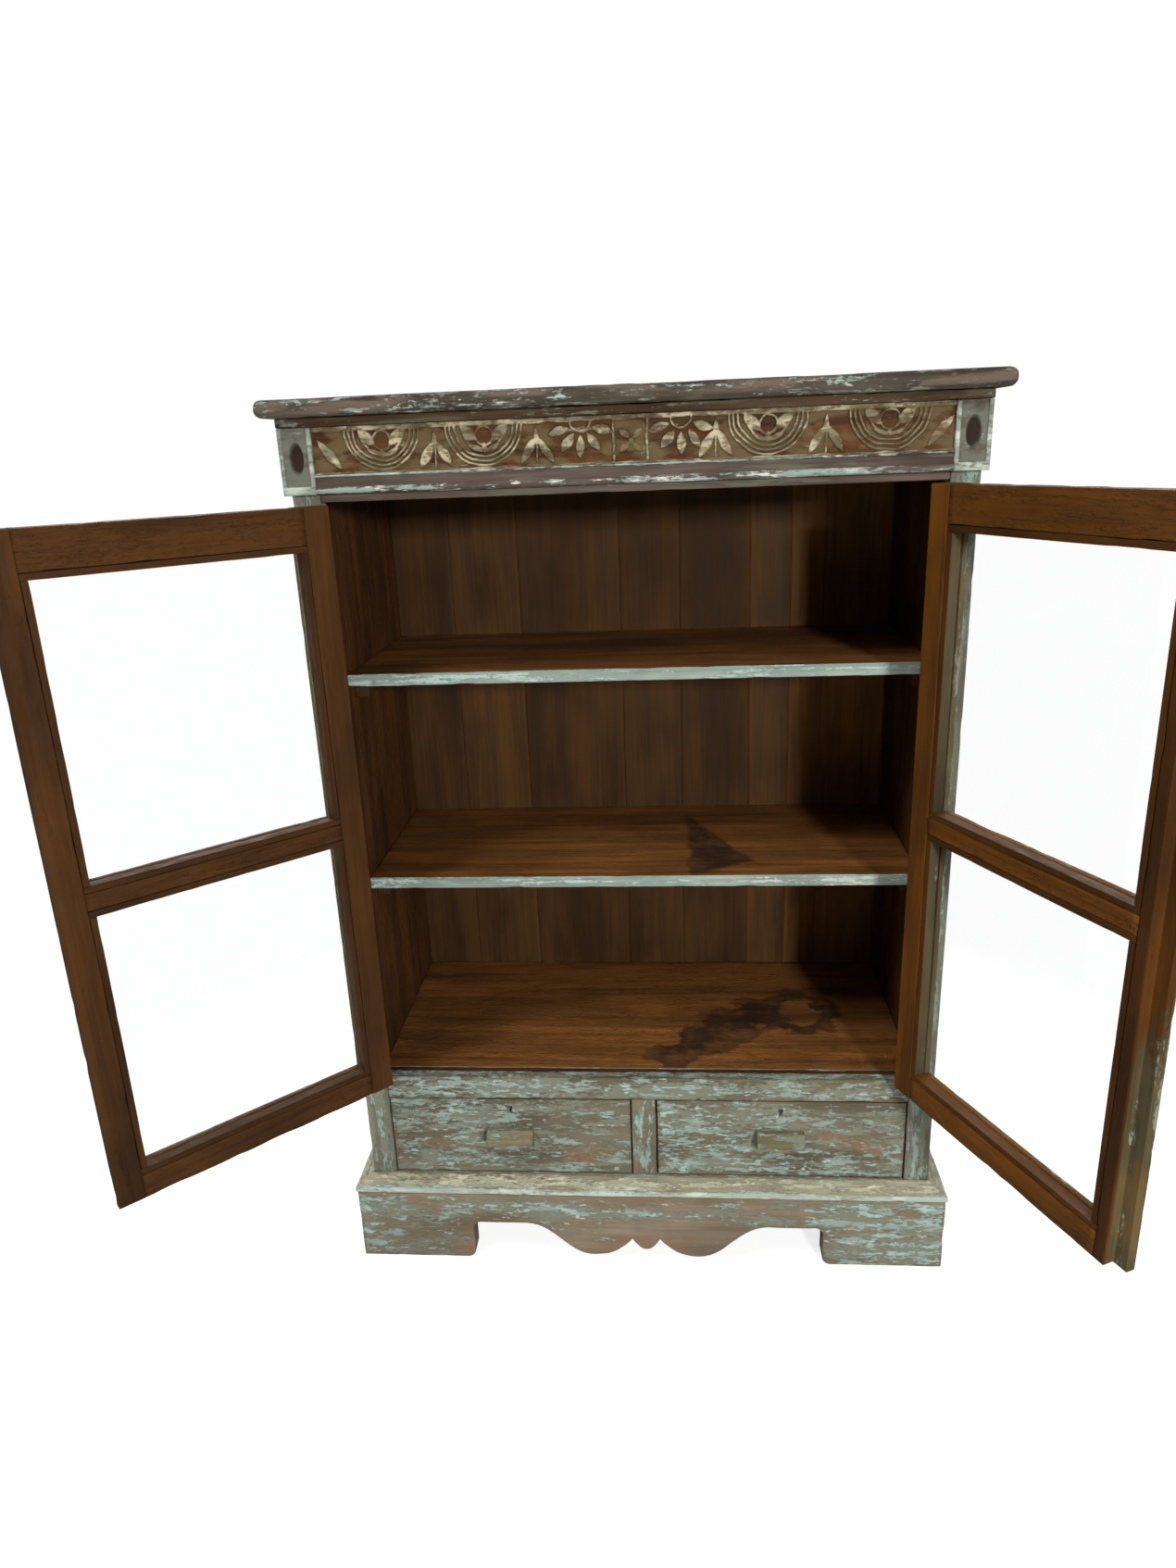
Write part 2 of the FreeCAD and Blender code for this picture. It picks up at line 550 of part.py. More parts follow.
def lap_recess(side):
    """Half of the meeting edge that makes room for the other leaf's half."""
    start = DOOR_END - DOOR_LAP - DOOR_LAP_END_GAP
    middle = DOOR_THICKNESS / 2
    half_clearance = DOOR_LAP_CLEARANCE / 2
    if side == "left":
        return leaf_block(start, DOOR_END, 0, middle + half_clearance, DOOR_BOTTOM, DOOR_TOP)
    return leaf_block(start, DOOR_END, middle - half_clearance, DOOR_THICKNESS, DOOR_BOTTOM, DOOR_TOP)


def glass_panes():
    """Two sheets of glass against the outer lip of the frame."""
    inset = GLASS_REBATE - GLASS_CLEARANCE
    return [leaf_block(SIGHT_START - inset, SIGHT_END + inset, GLASS_LIP, GLASS_LIP + GLASS_THICKNESS,
                       pane[0] - inset, pane[1] + inset) for pane in (LOWER_PANE, UPPER_PANE)]


def glazing_beads():
    """Four strips around each pane that hold the glass from inside."""
    start = GLASS_LIP + GLASS_THICKNESS
    end = DOOR_THICKNESS - BEAD_RECESS
    beads = []
    for bottom, top in (LOWER_PANE, UPPER_PANE):
        low = bottom - GLASS_REBATE
        high = top + GLASS_REBATE
        for u in (SIGHT_START - GLASS_REBATE, SIGHT_END):
            beads.append(leaf_block(u, u + GLASS_REBATE, start, end, low, high))
        for level in (low, top):
            beads.append(leaf_block(SIGHT_START, SIGHT_END, start, end, level, level + GLASS_REBATE))
    return beads


def knob_axis_point(depth):
    """A point on the knob's axis, at a depth inwards from the leaf's outer face."""
    return Vector(SIGHT_END + KNOB_INSET, PIVOT_PROUD + depth, KNOB_LEVEL)


def knob_hole():
    """Hole in the meeting stile for the knob's shank."""
    radius = KNOB_SHANK_RADIUS + KNOB_SHANK_CLEARANCE
    depth = KNOB_SHANK_LENGTH + KNOB_SHANK_CLEARANCE
    return Part.makeCylinder(radius, depth, knob_axis_point(0), Vector(0, 1, 0))


def door_knob():
    """Small turned knob: foot, neck and ball, with a shank into the stile."""
    outwards = Vector(0, -1, 0)
    ball_depth = KNOB_FOOT_HEIGHT + KNOB_NECK_HEIGHT + KNOB_BALL_RADIUS / 2
    foot = Part.makeCylinder(KNOB_FOOT_RADIUS, KNOB_FOOT_HEIGHT, knob_axis_point(0), outwards)
    neck = Part.makeCone(KNOB_NECK_ROOT_RADIUS, KNOB_NECK_RADIUS, KNOB_NECK_HEIGHT,
                         knob_axis_point(-KNOB_FOOT_HEIGHT), outwards)
    ball = Part.makeSphere(KNOB_BALL_RADIUS, knob_axis_point(-ball_depth))
    shank = Part.makeCylinder(KNOB_SHANK_RADIUS, KNOB_SHANK_LENGTH, knob_axis_point(0), Vector(0, 1, 0))
    return foot.fuse([neck, ball, shank]).removeSplitter()


# Hinges

def hinge_leaf(level, u0, knuckle_spans):
    """One leaf with its knuckles around the axis and a bore for the pin."""
    bore = Part.makeCylinder(HINGE_PIN_RADIUS + HINGE_PIN_CLEARANCE, HINGE_LENGTH, Vector(0, 0, level))
    u1 = u0 + HINGE_LEAF_THICKNESS
    start = PIVOT_PROUD
    plate = Part.makeBox(u1 - u0, HINGE_LEAF_REACH - start, HINGE_LENGTH, Vector(u0, start, level))
    parts = []
    for low, high in knuckle_spans:
        base = Vector(0, 0, level + low)
        parts.append(Part.makeCylinder(HINGE_KNUCKLE_RADIUS, high - low, base))
        parts.append(Part.makeBox(u1 - u0, start, high - low, Vector(u0, 0, level + low)))
    return plate.fuse(parts).cut(bore).removeSplitter()


def hinge_pieces():
    """Frame leaves, door leaves and pins of one leaf's two hinges, in the closed position."""
    end_knuckle = HINGE_KNUCKLE_SHARE * HINGE_LENGTH
    middle = (end_knuckle + HINGE_KNUCKLE_GAP, HINGE_LENGTH - end_knuckle - HINGE_KNUCKLE_GAP)
    ends = ((0, end_knuckle), (HINGE_LENGTH - end_knuckle, HINGE_LENGTH))
    door_leaf_start = HINGE_LEAF_THICKNESS + HINGE_LEAF_GAP
    frame_leaves = [hinge_leaf(level, 0, ends) for level in HINGE_LEVELS]
    door_leaves = [hinge_leaf(level, door_leaf_start, [middle]) for level in HINGE_LEVELS]
    return frame_leaves, door_leaves, [hinge_pin(level) for level in HINGE_LEVELS]


def hinge_pin(level):
    """Pin with a head on each end, resting on the frame leaf's knuckles."""
    shaft = Part.makeCylinder(HINGE_PIN_RADIUS, HINGE_LENGTH, Vector(0, 0, level))
    heads = [Part.makeCylinder(HINGE_PIN_HEAD_RADIUS, HINGE_PIN_HEAD_HEIGHT, Vector(0, 0, z))
             for z in (level - HINGE_PIN_HEAD_HEIGHT, level + HINGE_LENGTH)]
    return shaft.fuse(heads).removeSplitter()


def build_doors():
    """Both leaves at the angles they stand open, and the fixed halves of their hinges."""
    frame_leaves, door_leaves, pins = hinge_pieces()
    all_pins = []
    for side, angle in (("left", LEFT_DOOR_OPENING), ("right", RIGHT_DOOR_OPENING)):
        groups = {name: [solid] for name, solid in door_frame(side).items()}
        groups["glass_panes"] = glass_panes()
        groups["glazing_beads"] = glazing_beads()
        groups["hinge_leaves"] = door_leaves
        groups["knob"] = [door_knob()]
        for name, solids in groups.items():
            save(side + "_door_" + name, *[hung(solid, side, angle) for solid in solids])
        save("frame_hinge_leaves_" + side, *[hung(solid, side, 0) for solid in frame_leaves])
        all_pins += [hung(pin, side, 0) for pin in pins]
    save("hinge_pins", *all_pins)


os.makedirs("parts", exist_ok=True)
build_carcass()
build_frieze()
build_plinth()
build_drawer_storey()
build_drawers()
build_doors()
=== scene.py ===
# %% [markdown]
# # A worn, painted display cabinet
# The construction comes from CAD: every board at its real size and place, with doors that swing and
# drawers that slide.  This lesson gives the cabinet its looks.  Each board gets rubbed edges and small
# chips, the frieze gets its carving, and every finish is mixed from procedural nodes.

# %% Load the construction
import functools
import itertools
import json
import math

import bpy
import numpy as np
from mathutils import Matrix, Vector


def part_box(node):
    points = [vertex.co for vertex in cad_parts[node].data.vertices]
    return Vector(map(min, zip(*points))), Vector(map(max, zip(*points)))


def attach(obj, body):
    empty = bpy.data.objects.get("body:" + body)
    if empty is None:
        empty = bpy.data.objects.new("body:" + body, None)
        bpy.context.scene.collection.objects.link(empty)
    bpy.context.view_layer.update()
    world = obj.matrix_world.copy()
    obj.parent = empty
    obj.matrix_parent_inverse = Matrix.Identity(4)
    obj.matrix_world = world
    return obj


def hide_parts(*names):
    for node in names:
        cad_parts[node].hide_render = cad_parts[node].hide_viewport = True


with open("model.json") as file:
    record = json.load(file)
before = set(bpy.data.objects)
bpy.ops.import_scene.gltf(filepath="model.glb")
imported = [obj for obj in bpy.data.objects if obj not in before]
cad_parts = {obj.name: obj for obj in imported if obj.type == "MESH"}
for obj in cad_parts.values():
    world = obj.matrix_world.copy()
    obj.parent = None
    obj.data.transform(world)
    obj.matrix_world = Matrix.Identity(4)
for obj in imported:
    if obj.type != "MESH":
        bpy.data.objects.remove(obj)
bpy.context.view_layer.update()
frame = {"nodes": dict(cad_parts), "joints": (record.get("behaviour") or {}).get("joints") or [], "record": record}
X, Y, Z = 0, 1, 2

# %% [markdown]
# ## Camera
# A photograph fixes its camera: straight edges that run to a common point tell where the lens stood and
# how far it was tilted.  The camera here stands 1.25 m in front of the doors at the height of the top
# board, looks down, and leans a little, which is why the cabinet's uprights converge and the top runs
# uphill.

# %% Camera
CAMERA_PLACE = (0.0462, -1.6028, 1.1362)
CAMERA_YAW = math.radians(-4.864)
CAMERA_PITCH = math.radians(18.078)
CAMERA_ROLL = math.radians(2.323)
FOCAL_PIXELS = 1118.9
IMAGE_HEIGHT = 1693
SENSOR_HEIGHT = 36.0


def camera_turn(yaw, pitch, roll):
    """Camera axes as columns: the view direction from yaw and pitch, then right and up turned by the roll."""
    forward = np.array([math.sin(yaw) * math.cos(pitch), math.cos(yaw) * math.cos(pitch), -math.sin(pitch)])
    right = np.array([math.cos(yaw), -math.sin(yaw), 0.0])
    down = np.cross(forward, right)
    across = math.cos(roll) * right + math.sin(roll) * down
    under = math.cos(roll) * down - math.sin(roll) * right
    return np.stack([across, -under, -forward], axis=1)


scene = bpy.context.scene
camera_data = bpy.data.cameras.new("photo_camera")
camera_data.sensor_fit = "VERTICAL"
camera_data.sensor_height = SENSOR_HEIGHT
camera_data.lens = FOCAL_PIXELS / IMAGE_HEIGHT * SENSOR_HEIGHT
camera = bpy.data.objects.new("photo_camera", camera_data)
camera_matrix = np.eye(4)
camera_matrix[:3, :3] = camera_turn(CAMERA_YAW, CAMERA_PITCH, CAMERA_ROLL)
camera_matrix[:3, 3] = CAMERA_PLACE
camera.matrix_world = Matrix(camera_matrix.tolist())
scene.collection.objects.link(camera)
scene.camera = camera
scene.view_settings.view_transform = "Standard"
print("lens", round(camera_data.lens, 2), "mm")

# %% [markdown]
# ## Finishes are built from a few kinds of node
# A finish here is always the same recipe: coordinates that run along the board, noise stretched along the
# grain, soft thresholds that turn noise into patches, and mixes of colours.  A small class keeps the node
# tree and offers these steps by name, so that each finish below reads like a list of coats of paint.

# %% Steps for mixing a finish
SHIFT_STEPS = (1.0, 1.7, 2.3)


def tint(red, green, blue):
    """A colour given as 0 to 255 on screen, as linear light with full opacity."""
    share = np.array([red, green, blue]) / 255.0
    linear = np.where(share <= 0.04045, share / 12.92, ((share + 0.055) / 1.055) ** 2.4)
    return (*linear.tolist(), 1.0)


class Finish:
    """A material under construction."""

    def __init__(self, name):
        self.material = bpy.data.materials.new(name)
        self.material.use_nodes = True
        self.tree = self.material.node_tree
        self.shader = self.tree.nodes["Principled BSDF"]

    def node(self, kind, inputs=None, **settings):
        """Add one node; an input is a plain value or another node's output."""
        made = self.tree.nodes.new(kind)
        for key, value in settings.items():
            setattr(made, key, value)
        for key, value in (inputs or {}).items():
            self.feed(made.inputs[key], value)
        return made

    def feed(self, socket, value):
        """Link an output to a socket, or set the socket's own value."""
        if isinstance(value, bpy.types.NodeSocket):
            self.tree.links.new(value, socket)
        else:
            socket.default_value = value

    def read(self, attribute, output="Fac"):
        """A value that the mesh carries at each point."""
        return self.node("ShaderNodeAttribute", attribute_name=attribute).outputs[output]

    def place(self):
        """The point's place on the cabinet, in metres."""
        return self.node("ShaderNodeTexCoord").outputs["Object"]

    def vector(self, operation, first, second=(0.0, 0.0, 0.0), output="Vector"):
        """One sum of two vectors."""
        return self.node("ShaderNodeVectorMath", {0: first, 1: second}, operation=operation).outputs[output]

    def distance(self, x, y):
        """Level distance from an upright line at x and y."""
        offset = self.vector("SUBTRACT", self.place(), (x, y, 0.0))
        return self.vector("LENGTH", self.vector("MULTIPLY", offset, (1.0, 1.0, 0.0)), output="Value")

    def noise(self, vector, stretch, shift=0.0, detail=4.0, roughness=0.55, distortion=0.0):
        """Cloudy noise with so many blotches per metre along the first axis, and across it."""
        along, across = stretch
        mapped = self.node("ShaderNodeMapping", {"Vector": vector, "Scale": (along, across, across),
                                                 "Location": [shift * step for step in SHIFT_STEPS]})
        inputs = {"Vector": mapped.outputs[0], "Scale": 1.0, "Detail": detail, "Roughness": roughness,
                  "Distortion": distortion}
        return self.node("ShaderNodeTexNoise", inputs).outputs[0]

    def step(self, value, low, high, bottom=0.0, top=1.0):
        """A smooth rise from bottom to top while the value goes from low to high."""
        inputs = {"Value": value, "From Min": low, "From Max": high, "To Min": bottom, "To Max": top}
        return self.node("ShaderNodeMapRange", inputs, interpolation_type="SMOOTHSTEP").outputs[0]

    def math(self, operation, first, second):
        """One sum of two values."""
        return self.node("ShaderNodeMath", {0: first, 1: second}, operation=operation).outputs[0]

    def plus(self, first, second):
        return self.math("ADD", first, second)

    def times(self, first, second):
        return self.math("MULTIPLY", first, second)

    def centred(self, noise):
        """Noise with its middle at zero."""
        return self.plus(noise, -0.5)

    def larger(self, first, second):
        return self.math("MAXIMUM", first, second)

    def mix(self, factor, first, second, blend="MIX"):
        """Colours mixed by a factor; the node's colour sockets are numbers 6, 7 and, for the result, 2."""
        inputs = {0: factor, 6: first, 7: second}
        return self.node("ShaderNodeMix", data_type="RGBA", blend_type=blend, inputs=inputs).outputs[2]

    def shaded(self, colour, shade):
        """A colour made darker or lighter by a shade."""
        grey = self.node("ShaderNodeCombineColor", {0: shade, 1: shade, 2: shade}).outputs[0]
        return self.mix(1.0, colour, grey, "MULTIPLY")

    def bump(self, height, distance):
        """Raise the surface by a height, in metres at its full value."""
        made = self.node("ShaderNodeBump", {"Height": height, "Distance": distance, "Strength": 1.0})
        self.feed(self.shader.inputs["Normal"], made.outputs[0])

    def colour(self, value):
        """Set what the surface reflects."""
        self.feed(self.shader.inputs["Base Color"], value)

    def gloss(self, value, specular=0.15):
        """Set how rough the surface is, and how strongly it shines."""
        self.feed(self.shader.inputs["Roughness"], value)
        self.shader.inputs["Specular IOR Level"].default_value = specular


print("finish steps ready")

# %% [markdown]
# ## Studio lamps
# The photograph was cut out onto white, so the studio is white too.  One low lamp stands to the right of
# the camera, a high one to its left, and a little light comes from all around.  The low lamp reaches the
# back of the cabinet, and the right jamb and the top rail cast their shadows there; the high lamp only
# reaches the front part of each shelf.  Two lamps behind the cabinet light its back and sides for other
# views.

# %% Studio lamps
LAMP_TARGET = np.array([0.0, -0.30, 0.70])
LAMP_DISTANCE = 3.5
AMBIENT_LEVEL = 0.15

# Name, azimuth and elevation in degrees, level, and size in metres
LAMPS = (("key_lamp", 21.0, 14.5, 0.85, 0.35), ("high_lamp", -50.0, 55.0, 0.60, 1.2),
         ("rear_lamp_left", -140.0, 30.0, 0.55, 1.2), ("rear_lamp_right", 140.0, 30.0, 0.55, 1.2))


def area_lamp(name, azimuth, elevation, level, size):
    """A square lamp facing the cabinet; a white wall there would shine at the given level."""
    towards = np.array([math.sin(azimuth) * math.cos(elevation), -math.cos(azimuth) * math.cos(elevation),
                        math.sin(elevation)])
    data = bpy.data.lights.new(name, "AREA")
    data.size = size
    data.energy = level * math.pi ** 2 * LAMP_DISTANCE ** 2
    lamp = bpy.data.objects.new(name, data)
    lamp.location = LAMP_TARGET + LAMP_DISTANCE * towards
    lamp.rotation_euler = Vector(towards).to_track_quat("Z", "Y").to_euler()
    lamp.visible_transmission = False
    scene.collection.objects.link(lamp)


def seen_directly(tree):
    """1 for rays that show a surface to the camera, straight or through glass."""
    path = tree.nodes.new("ShaderNodeLightPath")
    either = tree.nodes.new("ShaderNodeMath")
    either.operation = "MAXIMUM"
    tree.links.new(path.outputs["Is Camera Ray"], either.inputs[0])
    tree.links.new(path.outputs["Is Transmission Ray"], either.inputs[1])
    return either.outputs[0]


for name, azimuth, elevation, level, size in LAMPS:
    area_lamp(name, math.radians(azimuth), math.radians(elevation), level, size)
world = bpy.data.worlds.new("studio")
world.use_nodes = True
around = world.node_tree.nodes["Background"]
around.inputs["Color"].default_value = (1, 1, 1, 1)
ambient = world.node_tree.nodes.new("ShaderNodeMapRange")
ambient.inputs["To Min"].default_value = AMBIENT_LEVEL
world.node_tree.links.new(seen_directly(world.node_tree), ambient.inputs["Value"])
world.node_tree.links.new(ambient.outputs[0], around.inputs["Strength"])
scene.world = world
print("lamps", len(bpy.data.lights))

# %% [markdown]
# ## Studio floor
# A pale floor takes the cabinet's soft shadow and fades into the white background.  A white plane would
# turn grey far from the lamps, so what the camera sees is a glow that grows to full white away from the
# cabinet, with plain shading added near it.  All other rays meet an ordinary pale floor, darker in the
# mirror image on the glass.

# %% Studio floor
FLOOR_REACH = 6.0
FLOOR_CENTRE = (0.0, -0.25)
FLOOR_FADE = (0.5, 1.2)
FLOOR_GLOW = 0.80
FLOOR_SHADE = 0.42
FLOOR_BOUNCE = 0.80
FLOOR_MIRRORED = 0.15

floor_mesh = bpy.data.meshes.new("studio_floor")
floor_mesh.from_pydata([(-FLOOR_REACH, -FLOOR_REACH, 0), (FLOOR_REACH, -FLOOR_REACH, 0),
                        (FLOOR_REACH, FLOOR_REACH, 0), (-FLOOR_REACH, FLOOR_REACH, 0)], [], [(0, 1, 2, 3)])
floor = bpy.data.objects.new("studio_floor", floor_mesh)
scene.collection.objects.link(floor)

paving = Finish("studio_floor")
fade = paving.step(paving.distance(*FLOOR_CENTRE), *FLOOR_FADE)
glow_level = paving.step(fade, 0.0, 1.0, FLOOR_GLOW, 1.0)
glow = paving.node("ShaderNodeEmission", {"Color": (1, 1, 1, 1), "Strength": glow_level})
shade = paving.node("ShaderNodeBsdfDiffuse", {"Color": (FLOOR_SHADE, FLOOR_SHADE, FLOOR_SHADE, 1)})
dark = paving.node("ShaderNodeBsdfDiffuse", {"Color": (0, 0, 0, 1)})
near_far = paving.node("ShaderNodeMixShader", {0: fade, 1: shade.outputs[0], 2: dark.outputs[0]})
shown = paving.node("ShaderNodeAddShader", {0: glow.outputs[0], 1: near_far.outputs[0]})
mirrored = paving.node("ShaderNodeLightPath").outputs["Is Glossy Ray"]
plain_level = paving.step(mirrored, 0.0, 1.0, FLOOR_BOUNCE, FLOOR_MIRRORED)
plain = paving.node("ShaderNodeBsdfDiffuse", {"Color": plain_level})
either = {0: seen_directly(paving.tree), 1: plain.outputs[0], 2: shown.outputs[0]}
both = paving.node("ShaderNodeMixShader", either)
paving.tree.links.new(both.outputs[0], paving.tree.nodes["Material Output"].inputs["Surface"])
floor_mesh.materials.append(paving.material)
print("floor reach", FLOOR_REACH)

# %% [markdown]
# ## Brown wood
# The inside of the cabinet and the inner faces of the doors are old hardwood, rubbed with oil until they
# went dark.  The grain runs along each board.  It is noise that changes slowly along the board and
# quickly across it, in two sizes: broad bands of darker growth and fine pores.

# %% Brown wood
GRAIN_BANDS = (1.4, 22.0)
GRAIN_PORES = (9.0, 260.0)
SMUDGES = (5.0, 9.0)
BAND_SHARE = 0.7
BAND_SWIRL = 0.8
PORE_SHIFT = 3.0
SMUDGE_SHIFT = 7.0
FIGURE_RANGE = (0.36, 0.64)
SMUDGE_RANGE = (0.35, 0.62)
SMUDGE_SHADES = (0.72, 1.12)
CLOUDY = {"detail": 5.0, "roughness": 0.6}


def grain_colour(finish, along, dark, light, shift=0.0):
    """Wood colour: bands plus pores choose between a dark and a light brown, and smudges darken it."""
    bands = finish.noise(along, GRAIN_BANDS, shift, distortion=BAND_SWIRL, **CLOUDY)
    pores = finish.noise(along, GRAIN_PORES, shift + PORE_SHIFT, detail=3.0)
    smudges = finish.noise(along, SMUDGES, shift + SMUDGE_SHIFT)
    figure = finish.plus(finish.times(bands, BAND_SHARE), finish.times(pores, 1 - BAND_SHARE))
    wood = finish.mix(finish.step(figure, *FIGURE_RANGE), dark, light)
    return finish.shaded(wood, finish.step(smudges, *SMUDGE_RANGE, *SMUDGE_SHADES)), figure


print("wood grain ready")

# %% [markdown]
# ## Stains
# Something was spilt on the cabinet floor: a chain of dark spots runs to the back right and ends in a
# ring, as a wet pot leaves.  On the lower shelf lies a dark wedge.  Stains could be painted on a picture;
# here a spot is a distance, the wedge is the inside of three straight lines, and noise makes both ragged.

# %% Stains
# A noise is (blotches per metre along the board and across it, shift)
STAIN = tint(40, 27, 17)
STAIN_WANDER = ((28.0, 28.0), 4.0)
SPOT_SWAY = 0.09
SPOT_BLUR = 0.006
RING_BLUR = 0.005
WEDGE_SWAY = 0.03
WEDGE_BLUR = (-0.006, 0.004)
STAIN_SOAKED = (0.30, 0.62, 0.45, 0.9)

# Spots are (x, y, radius, hole), and the wedge's lines (x, y) of a point and of the direction that leads out
FLOOR_SPOTS = ((0.045, -0.295, 0.034, 0.0), (0.085, -0.255, 0.044, 0.0), (0.128, -0.215, 0.048, 0.0),
               (0.168, -0.185, 0.044, 0.0), (0.235, -0.178, 0.062, 0.034))
SHELF_WEDGE = ((0.067, -0.055, 0.900, 0.436), (0.160, -0.2505, 0.465, -0.885), (0.069, -0.130, -1.0, 0.0))


def beyond(finish, x, y, out_x, out_y):
    """How far a point lies beyond a straight line."""
    offset = finish.vector("SUBTRACT", finish.place(), (x, y, 0.0))
    return finish.vector("DOT_PRODUCT", offset, (out_x, out_y, 0.0), "Value")


def stain_mask(finish, spots, wedge):
    """Where spilt liquid darkened the wood: ragged discs, of which a hole leaves only a ring, and a wedge."""
    wander = finish.noise(finish.place(), *STAIN_WANDER)
    sway = finish.centred(wander)
    masks = []
    for x, y, radius, hole in spots:
        reach = finish.plus(finish.distance(x, y), finish.times(sway, SPOT_SWAY))
        spot = finish.step(reach, radius - SPOT_BLUR, radius + SPOT_BLUR, 1.0, 0.0)
        if hole:
            spot = finish.times(spot, finish.step(reach, hole - RING_BLUR, hole + RING_BLUR))
        masks.append(spot)
    if wedge:
        outside = functools.reduce(finish.larger, [beyond(finish, *line) for line in wedge])
        outside = finish.plus(outside, finish.times(sway, WEDGE_SWAY))
        masks.append(finish.step(outside, *WEDGE_BLUR, 1.0, 0.0))
    return finish.times(functools.reduce(finish.larger, masks), finish.step(wander, *STAIN_SOAKED))


print("stains:", len(FLOOR_SPOTS), "spots and a wedge of", len(SHELF_WEDGE), "lines")

# %% [markdown]
# ## Layered, worn paint
# The outside was painted many times and rubbed down again.  One way is to paint a texture by hand; here
# each coat is a colour with a mask of stretched noise, so that a patch ends where its coat has worn
# through.  Flecks are longer along the board than across it, because sandpaper follows the grain.  Edges
# carry less paint than faces, and where a board turns into the cabinet the paint stops and bare wood
# begins.

# %% Layered paint
INSIDE_WOOD = (tint(54, 30, 9), tint(84, 50, 18))
RUBBING = ((40.0, 120.0), 21.0)
CRACKS = ((55.0, 420.0), 41.0)
BROAD_WEAR = ((3.0, 8.0), 51.0)
GRIT = ((110.0, 300.0), 61.0)
PATCH_SHIFT = 11.0
WOOD_SHIFT = 31.0
BROAD_SHARE = 0.28
GRIT_SHARE = 0.45
EDGE_LOSS = -0.1
EDGE_RUBBED = (0.35, 0.6)
PATCH_BLUR = 0.06
COAT_CLOUD = {"detail": 6.0, "roughness": 0.62, "distortion": 0.3}
COAT_BLUR = 0.035
COAT_COVER = 0.9
BARE_SWAY = 0.8
BARE_RANGE = (0.42, 0.58)
GRAIN_LIFT = 0.5
CRACK_LIFT = 0.4
PAINT_RELIEF = 0.0006
PAINT_ROUGHNESS = (0.3, 0.7, 0.62, 0.85)


def paint_sway(finish, along, rubbing):
    """What moves the border of every coat: broad wear, grit and the loss along rubbed edges."""
    broad = finish.centred(finish.noise(along, *BROAD_WEAR, detail=2.0))
    grit = finish.centred(finish.noise(along, *GRIT, detail=3.0, roughness=0.7))
    lost = finish.times(finish.read("edge"), finish.step(rubbing, *EDGE_RUBBED))
    sway = finish.plus(finish.times(broad, BROAD_SHARE), finish.times(grit, GRIT_SHARE))
    return finish.plus(sway, finish.times(lost, EDGE_LOSS))


def worn_paint(name, ground, patches, coats, wood=INSIDE_WOOD, spots=(), wedge=()):
    """Finish with a ground colour, patches of a second colour, then coats of (colour, size, level, shift,
    favour).  A coat covers the board where its noise is above the level; favour lets it gather where the
    mesh holds paint (positive) or where it doesn't (negative).  Bare wood, with its stains, shows where the
    mesh says."""
    finish = Finish(name)
    along = finish.read("grain", "Vector")
    colour, figure = grain_colour(finish, along, *ground)
    patch_colour, patch_size, level = patches
    cloud = finish.noise(along, patch_size, PATCH_SHIFT, **CLOUDY)
    patch = finish.step(cloud, level - PATCH_BLUR, level + PATCH_BLUR, 0.0, COAT_COVER)
    colour = finish.mix(patch, colour, patch_colour)
    rubbing = finish.noise(along, *RUBBING, **CLOUDY)
    sway = paint_sway(finish, along, rubbing)
    holding = finish.centred(finish.read("hold"))
    thickness = finish.times(figure, GRAIN_LIFT)
    for coat, size, level, shift, favour in coats:
        cloud = finish.plus(finish.noise(along, size, shift, **COAT_CLOUD), sway)
        if favour:
            cloud = finish.plus(cloud, finish.times(holding, favour))
        cover = finish.step(cloud, level - COAT_BLUR, level + COAT_BLUR, 0.0, COAT_COVER)
        colour = finish.mix(cover, colour, coat)
        thickness = finish.plus(thickness, cover)
    inside, _ = grain_colour(finish, along, *wood, WOOD_SHIFT)
    if spots or wedge:
        inside = finish.mix(stain_mask(finish, spots, wedge), inside, STAIN)
    ragged = finish.plus(finish.read("bare"), finish.times(finish.centred(rubbing), BARE_SWAY))
    colour = finish.mix(finish.step(ragged, *BARE_RANGE), colour, inside)
    finish.colour(finish.shaded(colour, finish.read("tone")))
    cracks = finish.noise(along, *CRACKS, detail=3.0)
    finish.bump(finish.plus(finish.times(cracks, CRACK_LIFT), thickness), PAINT_RELIEF)
    finish.gloss(finish.step(rubbing, *PAINT_ROUGHNESS))
    return finish.material


print("paint recipe ready")

# %% [markdown]
# ## The paints of this cabinet
# Every board has its own history: the front is taupe under turquoise flecks, the base tan with rust-brown
# patches, the sill cream, the moulding under the frieze mauve.  Each recipe gives the ground, the patches
# and the coats in the order in which they went on; sizes are blotches per metre along the board and
# across it.

# %% Paints of the head and the frame
GREY_GREEN = tint(116, 117, 101)
TURQUOISE = tint(136, 152, 140)
PALE_TURQUOISE = tint(158, 177, 167)
PALE_CREAM = tint(198, 196, 176)
RUST_BROWN = tint(126, 96, 72)

